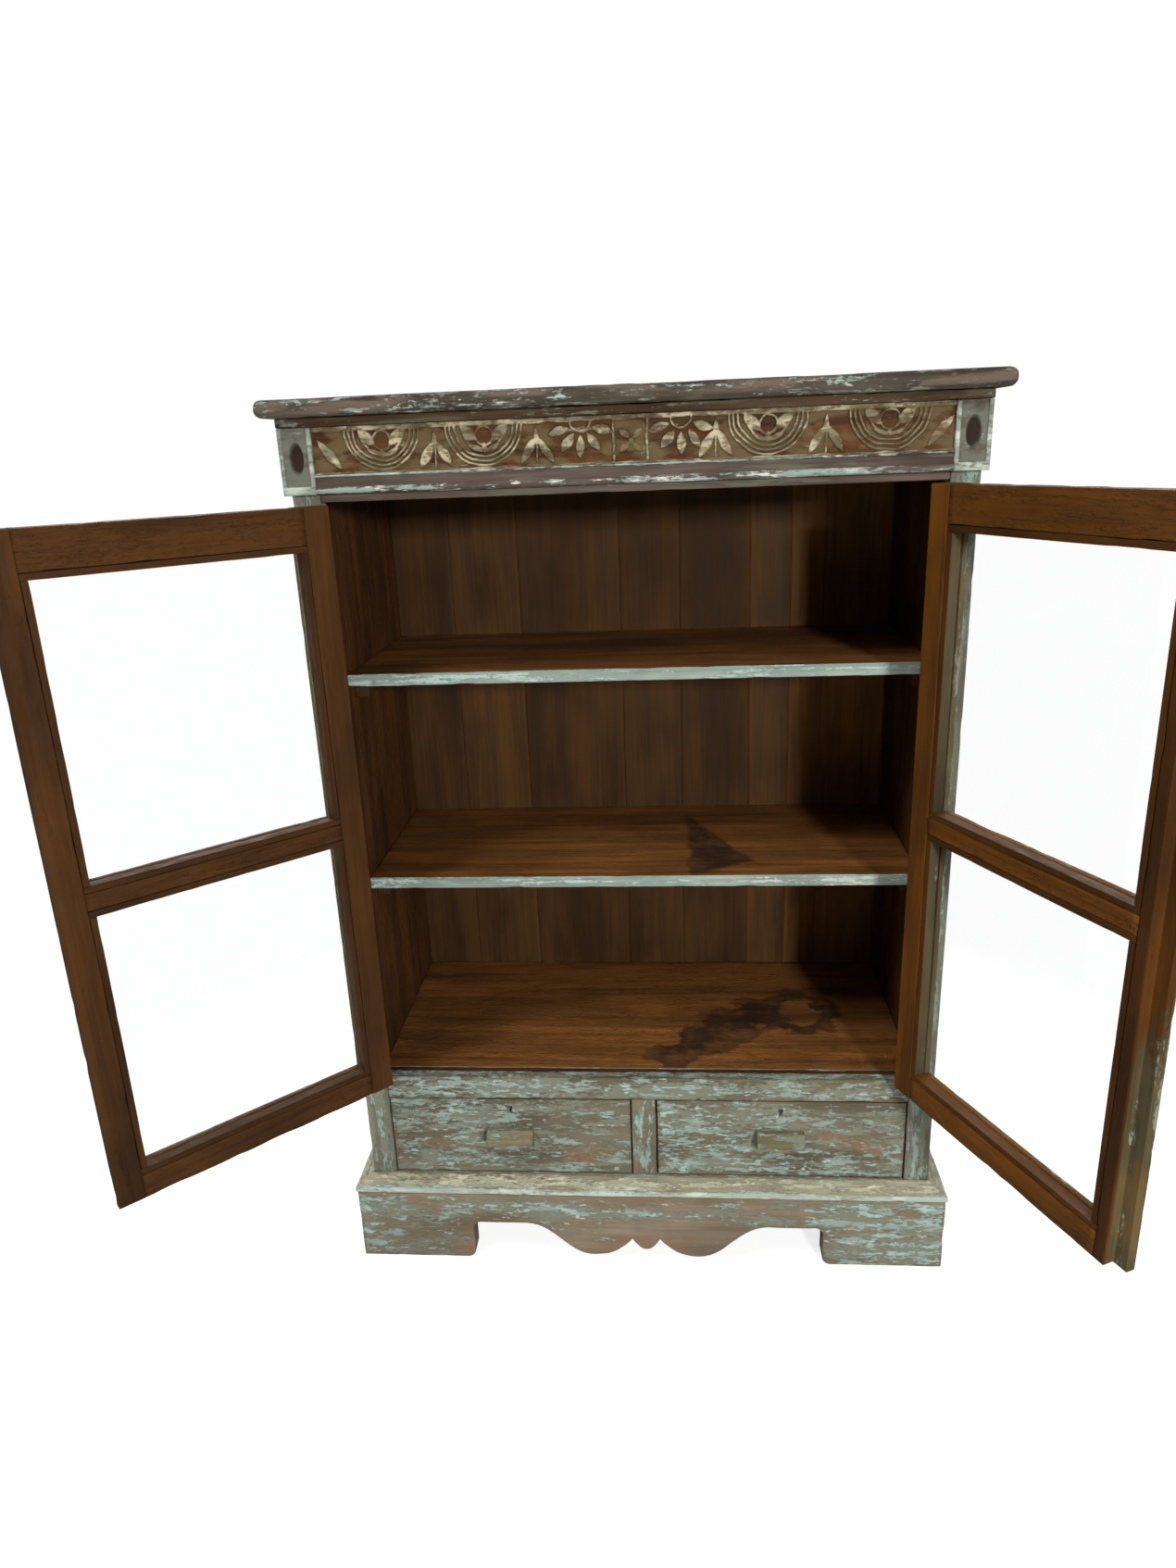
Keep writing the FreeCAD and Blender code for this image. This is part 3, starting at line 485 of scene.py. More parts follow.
front_recipe = ((tint(92, 84, 68), tint(112, 104, 86)), (RUST_BROWN, (9.0, 26.0), 0.60), (
    (GREY_GREEN, (13.0, 50.0), 0.49, 1.0, 0.1),
    (TURQUOISE, (24.0, 90.0), 0.55, 2.0, 0.12),
    (PALE_TURQUOISE, (38.0, 130.0), 0.60, 3.0, 0.1),
    (PALE_CREAM, (44.0, 160.0), 0.68, 3.5, 0.0)))
upright_recipe = ((tint(98, 93, 78), tint(114, 113, 98)), (RUST_BROWN, (9.0, 30.0), 0.66), (
    (GREY_GREEN, (9.0, 60.0), 0.46, 4.0, 0.0),
    (TURQUOISE, (16.0, 90.0), 0.56, 5.0, 0.0),
    (PALE_TURQUOISE, (26.0, 130.0), 0.64, 5.5, 0.0),
    (PALE_CREAM, (30.0, 170.0), 0.74, 6.0, 0.0)))
top_recipe = ((tint(58, 52, 42), tint(88, 81, 68)), (tint(98, 84, 72), (9.0, 60.0), 0.54), (
    (tint(124, 119, 103), (12.0, 90.0), 0.57, 7.0, 0.1),
    (TURQUOISE, (16.0, 110.0), 0.57, 8.0, 0.2),
    (PALE_TURQUOISE, (24.0, 130.0), 0.595, 8.5, 0.2),
    (PALE_CREAM, (32.0, 160.0), 0.65, 9.0, 0.1)))
# The strip's dark brown ground is partly painted shadow: it lies under the top board's overhang
shadowed_strip_recipe = ((tint(52, 36, 20), tint(82, 62, 40)), (tint(88, 84, 64), (5.0, 60.0), 0.57), (
    (GREY_GREEN, (9.0, 80.0), 0.57, 13.0, 0.2),
    (TURQUOISE, (14.0, 100.0), 0.62, 14.0, 0.2),
    (PALE_CREAM, (24.0, 130.0), 0.66, 13.5, 0.1)))
cornice_recipe = ((tint(76, 63, 56), tint(106, 93, 84)), (tint(92, 90, 76), (8.0, 70.0), 0.56), (
    (TURQUOISE, (9.0, 90.0), 0.60, 6.5, 0.35),
    (PALE_TURQUOISE, (12.0, 110.0), 0.63, 7.0, 0.3),
    (tint(208, 198, 184), (26.0, 150.0), 0.64, 7.5, 0.25)))
front_paint = worn_paint("front_paint", *front_recipe)
upright_paint = worn_paint("upright_paint", *upright_recipe)
top_paint = worn_paint("top_paint", *top_recipe)
shadowed_strip_paint = worn_paint("shadowed_strip_paint", *shadowed_strip_recipe)
cornice_paint = worn_paint("cornice_paint", *cornice_recipe)
print("paints of the head and the frame ready")

# %% [markdown]
# The shelves and the cabinet floor are bare wood with paint on their front edges only.  The doors' paint
# is darker and browner than the frame's, because hands have polished it.

# %% Paints of the base, the shelves and the doors
SHELF_WOOD = (tint(92, 57, 22), tint(136, 88, 40))
DOOR_WOODS = {"left": (tint(68, 39, 9), tint(88, 53, 16)), "right": (tint(72, 40, 3), tint(92, 54, 7))}

apron_recipe = ((tint(114, 100, 81), tint(136, 122, 103)), (RUST_BROWN, (6.0, 16.0), 0.56), (
    (GREY_GREEN, (10.0, 36.0), 0.52, 1.3, 0.35),
    (TURQUOISE, (18.0, 70.0), 0.58, 2.3, 0.35),
    (PALE_TURQUOISE, (30.0, 105.0), 0.62, 3.3, 0.35),
    (PALE_CREAM, (40.0, 150.0), 0.70, 3.8, 0.1)))
sill_recipe = ((tint(126, 123, 102), tint(146, 144, 121)), (tint(116, 106, 86), (14.0, 70.0), 0.62), (
    (tint(155, 153, 130), (10.0, 60.0), 0.50, 1.5, 0.0),
    (tint(172, 170, 146), (16.0, 90.0), 0.58, 2.0, 0.1),
    (tint(164, 175, 163), (8.0, 60.0), 0.54, 2.8, -0.3),
    (tint(206, 196, 168), (22.0, 110.0), 0.66, 3.2, 0.1),
    (tint(188, 199, 187), (18.0, 100.0), 0.61, 3.9, -0.2),
    (tint(150, 104, 86), (26.0, 160.0), 0.73, 4.2, 0.0)))
pull_recipe = ((tint(98, 93, 68), tint(122, 116, 86)), (RUST_BROWN, (12.0, 40.0), 0.62), (
    (GREY_GREEN, (20.0, 60.0), 0.48, 11.5, 0.0),
    (TURQUOISE, (26.0, 95.0), 0.58, 12.5, 0.0)))
shelf_recipe = ((tint(126, 138, 128), tint(156, 170, 158)), (TURQUOISE, (8.0, 90.0), 0.55), (
    (tint(172, 192, 183), (9.0, 120.0), 0.52, 4.5, 0.0),
    (PALE_CREAM, (16.0, 160.0), 0.60, 5.5, 0.0)), SHELF_WOOD)
door_recipe = ((tint(66, 57, 35), tint(86, 76, 50)), (tint(84, 66, 38), (9.0, 30.0), 0.60), (
    (GREY_GREEN, (7.0, 60.0), 0.49, 8.5, 0.15),
    (TURQUOISE, (16.0, 90.0), 0.57, 9.5, 0.4),
    (PALE_TURQUOISE, (26.0, 130.0), 0.64, 10.0, 0.4),
    (PALE_CREAM, (30.0, 170.0), 0.72, 10.5, 0.4)))
apron_paint = worn_paint("apron_paint", *apron_recipe)
sill_paint = worn_paint("sill_paint", *sill_recipe)
pull_paint = worn_paint("pull_paint", *pull_recipe)
shelf_paint = worn_paint("shelf_paint", *shelf_recipe)
lower_shelf_paint = worn_paint("lower_shelf_paint", *shelf_recipe, wedge=SHELF_WEDGE)
floor_paint = worn_paint("floor_paint", *front_recipe, SHELF_WOOD, spots=FLOOR_SPOTS)
door_finishes = {side: worn_paint(side + "_door_finish", *door_recipe, wood)
                 for side, wood in DOOR_WOODS.items()}
print("paints made:", len(bpy.data.materials))

# %% [markdown]
# ## Plank wood
# The planks of the back and the shelves' cleats were never painted.  Only their edges are rubbed lighter.

# %% Plank wood
PLANK_BROWNS = (tint(56, 35, 13), tint(78, 51, 22))
PLANK_RUBBING = ((30.0, 90.0), 17.0)
PLANK_RUBBED = 0.5
PLANK_RELIEF = 0.0006
PLANK_ROUGHNESS = (0.35, 0.65, 0.6, 0.85)

bare_boards = Finish("plank_wood")
board_grain = bare_boards.read("grain", "Vector")
board_colour, board_figure = grain_colour(bare_boards, board_grain, *PLANK_BROWNS)
board_rubbing = bare_boards.noise(board_grain, *PLANK_RUBBING)
board_rubbed = bare_boards.times(bare_boards.read("edge"), board_rubbing)
board_colour = bare_boards.mix(bare_boards.times(board_rubbed, PLANK_RUBBED), board_colour, PLANK_BROWNS[1])
bare_boards.colour(bare_boards.shaded(board_colour, bare_boards.read("tone")))
bare_boards.bump(board_figure, PLANK_RELIEF)
bare_boards.gloss(bare_boards.step(board_figure, *PLANK_ROUGHNESS))
plank_wood = bare_boards.material
print("finishes so far:", len(bpy.data.materials))

# %% [markdown]
# ## Boards with rubbed edges
# A box with knife-sharp edges never looks like old timber.  A Bevel modifier would round a box's edges
# evenly; here each board is a rounded outline carried along its length, because the mesh then also knows
# what the finishes read: distance along the grain, nearness to an edge, bareness and tone.  The outline's
# corners are arcs, and the board's ends are rounded the same way.

# %% Outlines and stations
EDGE_FADE = 0.005
ARC_STEPS = 5
FLAT_STEPS = 9
STATION_PITCH = 0.012
FEWEST_STATIONS = 3
DRAWN_IN = 0.9


def rounded_outline(corners, radii):
    """Closed outline, counterclockwise.  Each corner is an arc whose normal turns from the incoming edge's
    to the outgoing edge's; straight stretches between arcs have points that crowd towards their ends.
    Gives points, outward normals, nearness to an arc, and how far a board's ends may draw each point in:
    less than the corner's radius, so that an arc never turns inside out."""
    corners = np.asarray(corners, float)
    radii = np.broadcast_to(np.asarray(radii, float), len(corners))
    incoming = corners - np.roll(corners, 1, axis=0)
    incoming /= np.linalg.norm(incoming, axis=1, keepdims=True)
    outgoing = np.roll(incoming, -1, axis=0)
    normal_in = np.stack([incoming[:, 1], -incoming[:, 0]], axis=1)
    normal_out = np.stack([outgoing[:, 1], -outgoing[:, 0]], axis=1)
    along = np.sum(incoming * outgoing, axis=1)
    turn = np.arctan2(incoming[:, 0] * outgoing[:, 1] - incoming[:, 1] * outgoing[:, 0], along)[:, None]
    reach = np.sign(turn) * radii[:, None]
    centre = corners - reach * (normal_in + normal_out) / (1.0 + along)[:, None]
    angle = np.arctan2(normal_in[:, 1], normal_in[:, 0])[:, None] + turn * np.linspace(0, 1, ARC_STEPS)
    arc_normals = np.stack([np.cos(angle), np.sin(angle)], axis=-1)
    arcs = centre[:, None] + reach[:, None] * arc_normals
    share = (0.5 - 0.5 * np.cos(np.pi * np.linspace(0, 1, FLAT_STEPS + 2)[1:-1]))[None, :, None]
    start = arcs[:, -1:]
    end = np.roll(arcs[:, :1], -1, axis=0)
    flats = start * (1 - share) + end * share
    flat_normals = np.repeat(normal_out[:, None], FLAT_STEPS, axis=1)
    away = np.linalg.norm(end - start, axis=-1) * np.minimum(share, 1 - share)[..., 0]
    near = np.concatenate([np.ones((len(corners), ARC_STEPS)), np.exp(-away / EDGE_FADE)], axis=1)
    limit = DRAWN_IN * radii[:, None]
    flat_limits = limit * (1 - share[..., 0]) + np.roll(limit, -1, axis=0) * share[..., 0]
    limits = np.concatenate([np.repeat(limit, ARC_STEPS, axis=1), flat_limits], axis=1)
    points = np.concatenate([arcs, flats], axis=1)
    normals = np.concatenate([arc_normals, flat_normals], axis=1)
    return points.reshape(-1, 2), normals.reshape(-1, 2), near.reshape(-1), limits.reshape(-1)


def rounded_stations(start, end, radius):
    """Places along a board and how far the outline draws in there: a quarter circle at each end."""
    swing = np.linspace(0, np.pi / 2, ARC_STEPS)
    head = start + radius * (1 - np.cos(swing))
    head_inset = radius * (1 - np.sin(swing))
    count = max(FEWEST_STATIONS, int((end - start) / STATION_PITCH))
    middle = np.linspace(start + radius, end - radius, count)[1:-1]
    places = np.concatenate([head, middle, (start + end - head)[::-1]])
    insets = np.concatenate([head_inset, np.zeros(len(middle)), head_inset[::-1]])
    return places, insets


print("outline helpers ready")

# %% [markdown]
# ## From grids to pieces
# A surface is a grid: one row per station, one column per outline point.  Neighbouring rows and columns
# make quads, the last column joins the first, and one face closes each end.  Several grids can share an
# object, for example the planks of the back.  Every piece rides on a body of the frame and stands for CAD
# nodes.

# %% Grids to pieces
CARRIED = {"edge": 0.0, "bare": 0.0, "tone": 1.0, "hold": 0.5, "relief": 0.0}


def skin(rows, columns, flip):
    """Quads between neighbouring rows and columns of a grid that closes on itself, and a face at each end."""
    index = np.arange(rows * columns).reshape(rows, columns)
    after = np.roll(index, -1, axis=1)
    quads = np.stack([index[:-1], after[:-1], after[1:], index[1:]], axis=-1).reshape(-1, 4)
    blocks = [quads, index[:1, ::-1], index[-1:]]
    return [block[:, ::-1] for block in blocks] if flip else blocks


def add_piece(name, surfaces, material, body, node):
    """One object out of surfaces, riding on a body and standing for a CAD node."""
    starts = np.cumsum([0] + [len(part["points"]) for part in surfaces])
    faces = []
    for part, start in zip(surfaces, starts):
        for block in part["faces"]:
            faces += (block + start).tolist()
    mesh = bpy.data.meshes.new(name)
    mesh.from_pydata(np.concatenate([part["points"] for part in surfaces]).tolist(), [], faces)
    grain = np.concatenate([part["grain"] for part in surfaces]).astype(np.float32)
    mesh.attributes.new("grain", "FLOAT_VECTOR", "POINT").data.foreach_set("vector", grain.ravel())
    for carried, default in CARRIED.items():
        values = [part["carried"].get(carried, np.full(len(part["points"]), default)) for part in surfaces]
        values = np.concatenate(values).astype(np.float32)
        mesh.attributes.new(carried, "FLOAT", "POINT").data.foreach_set("value", values)
    mesh.shade_smooth()
    mesh.materials.append(material)
    piece = bpy.data.objects.new(name, mesh)
    scene.collection.objects.link(piece)
    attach(piece, body)
    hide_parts(node)


print("mesh helpers ready")

# %% [markdown]
# ## Wear
# Old boards are never quite flat, and their edges lost small chips.  Sculpting would do it for one board;
# for fifty, a sum of sine waves in random directions bends the faces by a fraction of a millimetre and
# bites into the edges.  Each board gets a seed of its own, so no two are worn alike and every run gives
# the same cabinet.

# %% Wear
CHIP_DEPTH = 0.0010
CHIP_SIZE = 0.06
CHIP_RANGE = (0.22, 0.72)
WARP_DEPTH = 0.0003
WARP_SIZE = 0.4
WAVES = 5
GRAIN_SPREAD = 3.0


def ramp(value, low, high):
    """Straight rise from 0 at low to 1 at high."""
    return np.clip((value - low) / (high - low), 0, 1)


def ripple(points, seed, size, octaves=3):
    """Smooth noise: sine waves in random directions, each octave half as long and as high as the last."""
    random = np.random.default_rng(seed)
    total = np.zeros(points.shape[:-1])
    for octave in range(octaves):
        waves = random.normal(size=(WAVES, 3))
        waves *= (2 * np.pi * 2 ** octave / size) / np.linalg.norm(waves, axis=1, keepdims=True)
        phases = random.uniform(0, 2 * np.pi, WAVES)
        total += np.sin(points @ waves.T + phases).mean(axis=-1) / 2 ** octave
    return total


def chips(points, near, seed):
    """Depth of the chips: where a ripple rises, and only near an edge."""
    return CHIP_DEPTH * near * ramp(ripple(points, seed, CHIP_SIZE), *CHIP_RANGE)


def wear(points, normals, near, room, seed):
    """Draw the points in where a chip is, as far as there is room, and let the faces wander."""
    drift = (ripple(points, seed + 1, WARP_SIZE) - 1) * WARP_DEPTH
    return points + normals * np.maximum(drift - chips(points, near, seed), -room)[..., None]


def grain_offset(seed):
    """Where in the log a board was cut: it moves the noise of its finish."""
    return np.random.default_rng(seed).uniform(-GRAIN_SPREAD, GRAIN_SPREAD, 3)


print("wear helpers ready")

# %% [markdown]
# ## Carried boards
# A board knows three directions of its own: across, depth and length.  What it carries for the finishes,
# such as bareness, is a number, or a function of these three.

# %% Carried boards
ACROSS, DEPTH, LENGTH = 0, 1, 2
EDGE_RADIUS = 0.0022


def rising(direction, low, high, bottom=0.0, top=1.0):
    """A carried value that rises from bottom at low to top at high, along one of the board's directions."""
    def value(*place):
        return bottom + (top - bottom) * ramp(place[direction], low, high)
    return value


def carried_board(outline, stations, axes, origin, seed, shape=None, lengthwise=LENGTH, edge_change=None,
                  **carried):
    """A board: outline point times the across and depth axes, plus station times the length axis; axes has
    these directions as rows.  shape changes a point's three values before it is placed, edge_change its
    nearness to an edge, and the grain follows lengthwise."""
    points, normals, near, limits = outline
    places, insets = stations
    inset = np.minimum(insets[:, None], limits[None])
    section = points[None] - normals[None] * inset[..., None]
    length = np.broadcast_to(places[:, None, None], section.shape[:2] + (1,))
    local = np.concatenate([section, length], axis=-1)
    if shape is not None:
        local = shape(local)
    to_end = np.minimum(places - places[0], places[-1] - places)
    near = np.maximum(near[None], np.exp(-to_end / EDGE_FADE)[:, None])
    if edge_change is not None:
        near = edge_change(near)
    world = local @ axes + origin
    outward = np.broadcast_to(normals[None] @ axes[:2], world.shape)
    world = wear(world, outward, near, limits[None] - inset, seed)
    place = np.moveaxis(local, -1, 0)
    values = {"edge": near}
    values.update({name: value(*place) if callable(value) else value for name, value in carried.items()})
    values = {name: np.broadcast_to(value, near.shape).reshape(-1) for name, value in values.items()}
    order = [lengthwise, (lengthwise + 1) % 3, (lengthwise + 2) % 3]
    grain = local[..., order] + grain_offset(seed)
    return {"points": world.reshape(-1, 3), "grain": grain.reshape(-1, 3), "carried": values,
            "faces": skin(*near.shape, np.linalg.det(axes) < 0)}


def straight_board(low, high, length_axis, seed, radii=EDGE_RADIUS, end_radius=EDGE_RADIUS, **carried):
    """A board along X, Y or Z between two corners.  Across and depth are the next two axes in turn."""
    across, depth = (length_axis + 1) % 3, (length_axis + 2) % 3
    corners = [(low[across], low[depth]), (high[across], low[depth]),
               (high[across], high[depth]), (low[across], high[depth])]
    stations = rounded_stations(low[length_axis], high[length_axis], end_radius)
    axes = np.eye(3)[[across, depth, length_axis]]
    return carried_board(rounded_outline(corners, radii), stations, axes, np.zeros(3), seed, **carried)


print("board helpers ready")

# %% [markdown]
# ## Sizes from the construction
# The lesson measures the CAD pieces instead of repeating their sizes.  One box tells a board's place.  A
# node that holds several solids, such as the planks, is parted where its triangles leave a gap.

# %% Sizes from the construction
PARTING_GAP = 0.0002


def corners_of(node):
    """Lowest and highest corner of a CAD node, in metres."""
    low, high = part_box(node)
    return np.array(low), np.array(high)


def vertices_of(node):
    """All vertices of a CAD node."""
    mesh = frame["nodes"][node].data
    places = np.empty(len(mesh.vertices) * 3, np.float32)
    mesh.vertices.foreach_get("co", places)
    return places.reshape(-1, 3)


def parted(triangles, axis):
    """Split triangles where sorting them along an axis leaves a gap."""
    triangles = triangles[np.argsort(triangles[:, :, axis].min(axis=1))]
    reached = np.maximum.accumulate(triangles[:, :, axis].max(axis=1))
    breaks = np.nonzero(triangles[1:, :, axis].min(axis=1) > reached[:-1] + PARTING_GAP)[0] + 1
    return np.split(triangles, breaks)


def boxes_of(node, *axes):
    """Boxes of a node's separate solids: its triangles are parted along each axis in turn."""
    mesh = frame["nodes"][node].data
    mesh.calc_loop_triangles()
    corners = np.empty(len(mesh.loop_triangles) * 3, np.int32)
    mesh.loop_triangles.foreach_get("vertices", corners)
    groups = [vertices_of(node)[corners].reshape(-1, 3, 3).astype(float)]
    for axis in axes:
        groups = [part for group in groups for part in parted(group, axis)]
    return [(group.min(axis=(0, 1)), group.max(axis=(0, 1))) for group in groups]


FRONT_PLANE = corners_of("front_stile_left")[0][Y]
HALF_WIDTH = corners_of("side_panel_right")[1][X]
print("front plane", round(FRONT_PLANE, 4), "half width", round(HALF_WIDTH, 4))

# %% [markdown]
# ## Frame and sides
# The frame of the front is painted all over, round to its back edge.  The side panels are painted outside
# only, so their bareness rises through the thickness of the board.  The rail above the doors kept little
# paint, and the one below them more than the drawers.

# %% Frame and sides
STILE_PAINT_ENDS = (0.018, 0.024)
PANEL_PAINT_ENDS = (0.006, 0.001)
RAIL_PAINT_ENDS = (0.012, 0.020)
PANEL_TONE = 0.95
PANEL_SEEDS = 10
DIVIDER_SEED = 24

# Side, direction that leads inwards, and seed
SIDES = (("left", 1, 11), ("right", -1, 12))

# Node, finish, how much pale paint it holds, and seed
RAILS = (("top_rail", cornice_paint, 0.25, 21), ("floor_rail", front_paint, 0.75, 22),
         ("lower_rail", front_paint, 0.5, 23))

for side, inwards, seed in SIDES:
    low, high = corners_of("front_stile_" + side)
    bare = rising(DEPTH, *(low[Y] + end for end in STILE_PAINT_ENDS))
    stile = straight_board(low, high, Z, seed, bare=bare)
    add_piece("worn_stile_" + side, [stile], upright_paint, "carcass", "front_stile_" + side)
    low, high = corners_of("side_panel_" + side)
    inner = high[X] if side == "left" else low[X]
    bare = rising(ACROSS, *(inner - inwards * end for end in PANEL_PAINT_ENDS))
    panel = straight_board(low, high, Z, seed + PANEL_SEEDS, bare=bare, tone=PANEL_TONE)
    add_piece("worn_side_" + side, [panel], upright_paint, "carcass", "side_panel_" + side)
for node, paint, hold, seed in RAILS:
    low, high = corners_of(node)
    bare = rising(ACROSS, *(low[Y] + end for end in RAIL_PAINT_ENDS))
    rail = straight_board(low, high, X, seed, bare=bare, hold=hold)
    add_piece("worn_" + node, [rail], paint, "carcass", node)
divider = straight_board(*corners_of("drawer_divider"), Z, DIVIDER_SEED)
add_piece("worn_divider", [divider], front_paint, "carcass", "drawer_divider")
print("frame boards:", 2 * len(SIDES) + len(RAILS) + 1)

# %% [markdown]
# ## Shelves, floor and back
# Shelves are bare above and below with a painted front edge.  The back is made of upright planks of
# uneven tone; the two at the right are made twice as light, painted light where the right jamb's shadow
# falls.  Their rounded edges leave dark grooves; each plank reaches a little past its neighbour's edge, so
# that no light falls through the seams.

# %% Shelves, floor and back
# Node, finish, tone and seed
SHELVES = (("shelf_lower", lower_shelf_paint, 0.92, 31), ("shelf_upper", shelf_paint, 0.85, 32),
           ("cabinet_floor", floor_paint, 0.95, 33))
SHELF_PAINT_ENDS = (0.0004, 0.0026)
# Plank tones, left to right; the two at the right are doubled as painted light in the right jamb's shadow
PLANK_TONES_AND_FILL_LIGHT = (0.75, 1.05, 0.85, 0.90, 0.82, 1.10, 2.00, 2.00)
PLANK_LAP = np.array([0.0018, 0.0, 0.0])
PLANK_EDGE = 0.0042
PLANK_END = 0.0016
PLANK_SEED = 41
CLEAT_TONE = 0.7
CLEAT_SEED = 61

for node, paint, tone, seed in SHELVES:
    low, high = corners_of(node)
    bare = rising(ACROSS, *(low[Y] + end for end in SHELF_PAINT_ENDS))
    board = straight_board(low, high, X, seed, bare=bare, tone=tone)
    add_piece("worn_" + node, [board], paint, "carcass", node)
planks = [straight_board(low - PLANK_LAP, high + PLANK_LAP, Z, seed, PLANK_EDGE, PLANK_END, tone=tone)
          for seed, (low, high), tone in zip(itertools.count(PLANK_SEED), boxes_of("back_planks", X),
                                             PLANK_TONES_AND_FILL_LIGHT)]
add_piece("worn_planks", planks, plank_wood, "carcass", "back_planks")
cleats = [straight_board(low, high, Y, seed, tone=CLEAT_TONE)
          for seed, (low, high) in enumerate(boxes_of("shelf_cleats", X, Z), CLEAT_SEED)]
add_piece("worn_cleats", cleats, plank_wood, "carcass", "shelf_cleats")
print("planks", len(planks), "cleats", len(cleats))

# %% [markdown]
# ## Top and strip
# The top board has a round nose on its front and its sides, and kept more pale paint towards its left
# end.  Under it runs a square strip round three sides; its paint is darkened with the painted shadow of
# the top board's overhang.  Behind the strip, returns cover the sides at the height of the frieze.

# %% Top board and strip
TOP_NOSE = 0.009
TOP_HOLDS = (0.75, 0.35)
# The strip's tone darkens it further: painted shadow of the top board
STRIP_SHADOW_TONE = 0.80
STRIP_EDGE = 0.0012
TOP_SEED = 71
STRIP_SEED = 72
SIDE_STRIP_SEED = 73
RETURN_SEED = 76

low, high = corners_of("top_board")
nose_radii = (TOP_NOSE, EDGE_RADIUS, EDGE_RADIUS, TOP_NOSE)
left_hold = rising(LENGTH, low[X], high[X], *TOP_HOLDS)
top = straight_board(low, high, X, TOP_SEED, nose_radii, TOP_NOSE, hold=left_hold)
add_piece("worn_top", [top], top_paint, "carcass", "top_board")

low, high = corners_of("cornice_fillet")
strip_high = np.array([high[X], FRONT_PLANE, high[Z]])
strips = [straight_board(low, strip_high, X, STRIP_SEED, tone=STRIP_SHADOW_TONE)]
for side in (-1, 1):
    left, right = sorted((side * HALF_WIDTH, side * high[X]))
    strip_low = np.array([left, FRONT_PLANE, low[Z]])
    strip_high = np.array([right, high[Y], high[Z]])
    strips.append(straight_board(strip_low, strip_high, Y, SIDE_STRIP_SEED + side, STRIP_EDGE, STRIP_EDGE,
                                 tone=STRIP_SHADOW_TONE))
add_piece("worn_strip", strips, shadowed_strip_paint, "carcass", "cornice_fillet")
returns = [straight_board(low, high, Y, seed, STRIP_EDGE, STRIP_EDGE)
           for seed, (low, high) in enumerate(boxes_of("frieze_returns", X), RETURN_SEED)]
add_piece("worn_returns", returns, upright_paint, "carcass", "frieze_returns")
print("top, strips", len(strips), "returns", len(returns))

# %% [markdown]
# ## Bead moulding
# Below the frieze a moulding was planed with a lip, a flat and a round bead.  It is one outline carried
# along the front.  Paint stayed on the bead and the lip, and wore off the flat between them.

# %% Bead moulding
LIP_OUT = 0.013
LIP_DROP = 0.0030
FLAT_OUT = 0.009
BEAD_RADIUS = 0.0045
BEAD_STEPS = 7
BEAD_HOLD = 0.85
LIP_HOLD = 0.95
HOLD_BLUR = 0.001
MOULDING_END = 0.0005
MOULDING_SEED = 79
HIDDEN_EDGE = 0.0003
LIP_EDGE = 0.0016
FLAT_EDGE = 0.0008
BEAD_CORNER = 0.0002

low, high = corners_of("bead_moulding")
lip_low = high[Z] - LIP_DROP
bead_top = low[Z] + 2 * BEAD_RADIUS
turns = np.linspace(np.pi / 2, -np.pi / 2, BEAD_STEPS)
bead = np.stack([FRONT_PLANE - FLAT_OUT - BEAD_RADIUS * np.cos(turns),
                 low[Z] + BEAD_RADIUS + BEAD_RADIUS * np.sin(turns)], axis=1)
moulding = np.concatenate([
    [(FRONT_PLANE, low[Z]), (FRONT_PLANE, high[Z]), (FRONT_PLANE - LIP_OUT, high[Z]),
     (FRONT_PLANE - LIP_OUT, lip_low), (FRONT_PLANE - FLAT_OUT, lip_low)], bead])
moulding_radii = [HIDDEN_EDGE] * 2 + [LIP_EDGE] * 2 + [FLAT_EDGE] + [BEAD_CORNER] * BEAD_STEPS


def bead_hold(across, depth, length):
    """Much on the bead and the lip, none on the flat between them."""
    on_bead = BEAD_HOLD * (1 - ramp(depth, bead_top - HOLD_BLUR, bead_top + HOLD_BLUR))
    return np.maximum(on_bead, LIP_HOLD * ramp(depth, lip_low - HOLD_BLUR, lip_low))


bead_outline = rounded_outline(moulding, moulding_radii)
bead_board = carried_board(bead_outline, rounded_stations(low[X], high[X], MOULDING_END),
                           np.eye(3)[[Y, Z, X]], np.zeros(3), MOULDING_SEED, hold=bead_hold)
add_piece("worn_bead_moulding", [bead_board], cornice_paint, "carcass", "bead_moulding")
print("moulding points", len(bead_board["points"]))

# %% [markdown]
# ## Carved panels
# The frieze was carved from one board: half circles hang from the upper edge, with leaves between them
# and a square flower in the middle, and the ground was cut away between the lines.  As a surface it is a
# height field: for every point, distances to circles and leaves tell whether it belongs to the raised
# drawing or to the ground.  The paint stayed on the raised parts, so the finish reads the same mask.

# %% Height fields
PANEL_PITCH = 0.0008
PANEL_EDGE = 0.0016
OUTLINE_BLUR = 0.0010


def panel_line(start, end, pitch, radius):
    """Places along one side of a panel, which crowd near both ends, and the rounding of the border there."""
    places, insets = rounded_stations(start, end, radius)
    inner = np.linspace(start + radius, end - radius, int((end - start) / pitch))[1:-1]
    return (np.concatenate([places[:ARC_STEPS], inner, places[-ARC_STEPS:]]),
            np.concatenate([insets[:ARC_STEPS], 0 * inner, insets[-ARC_STEPS:]]))


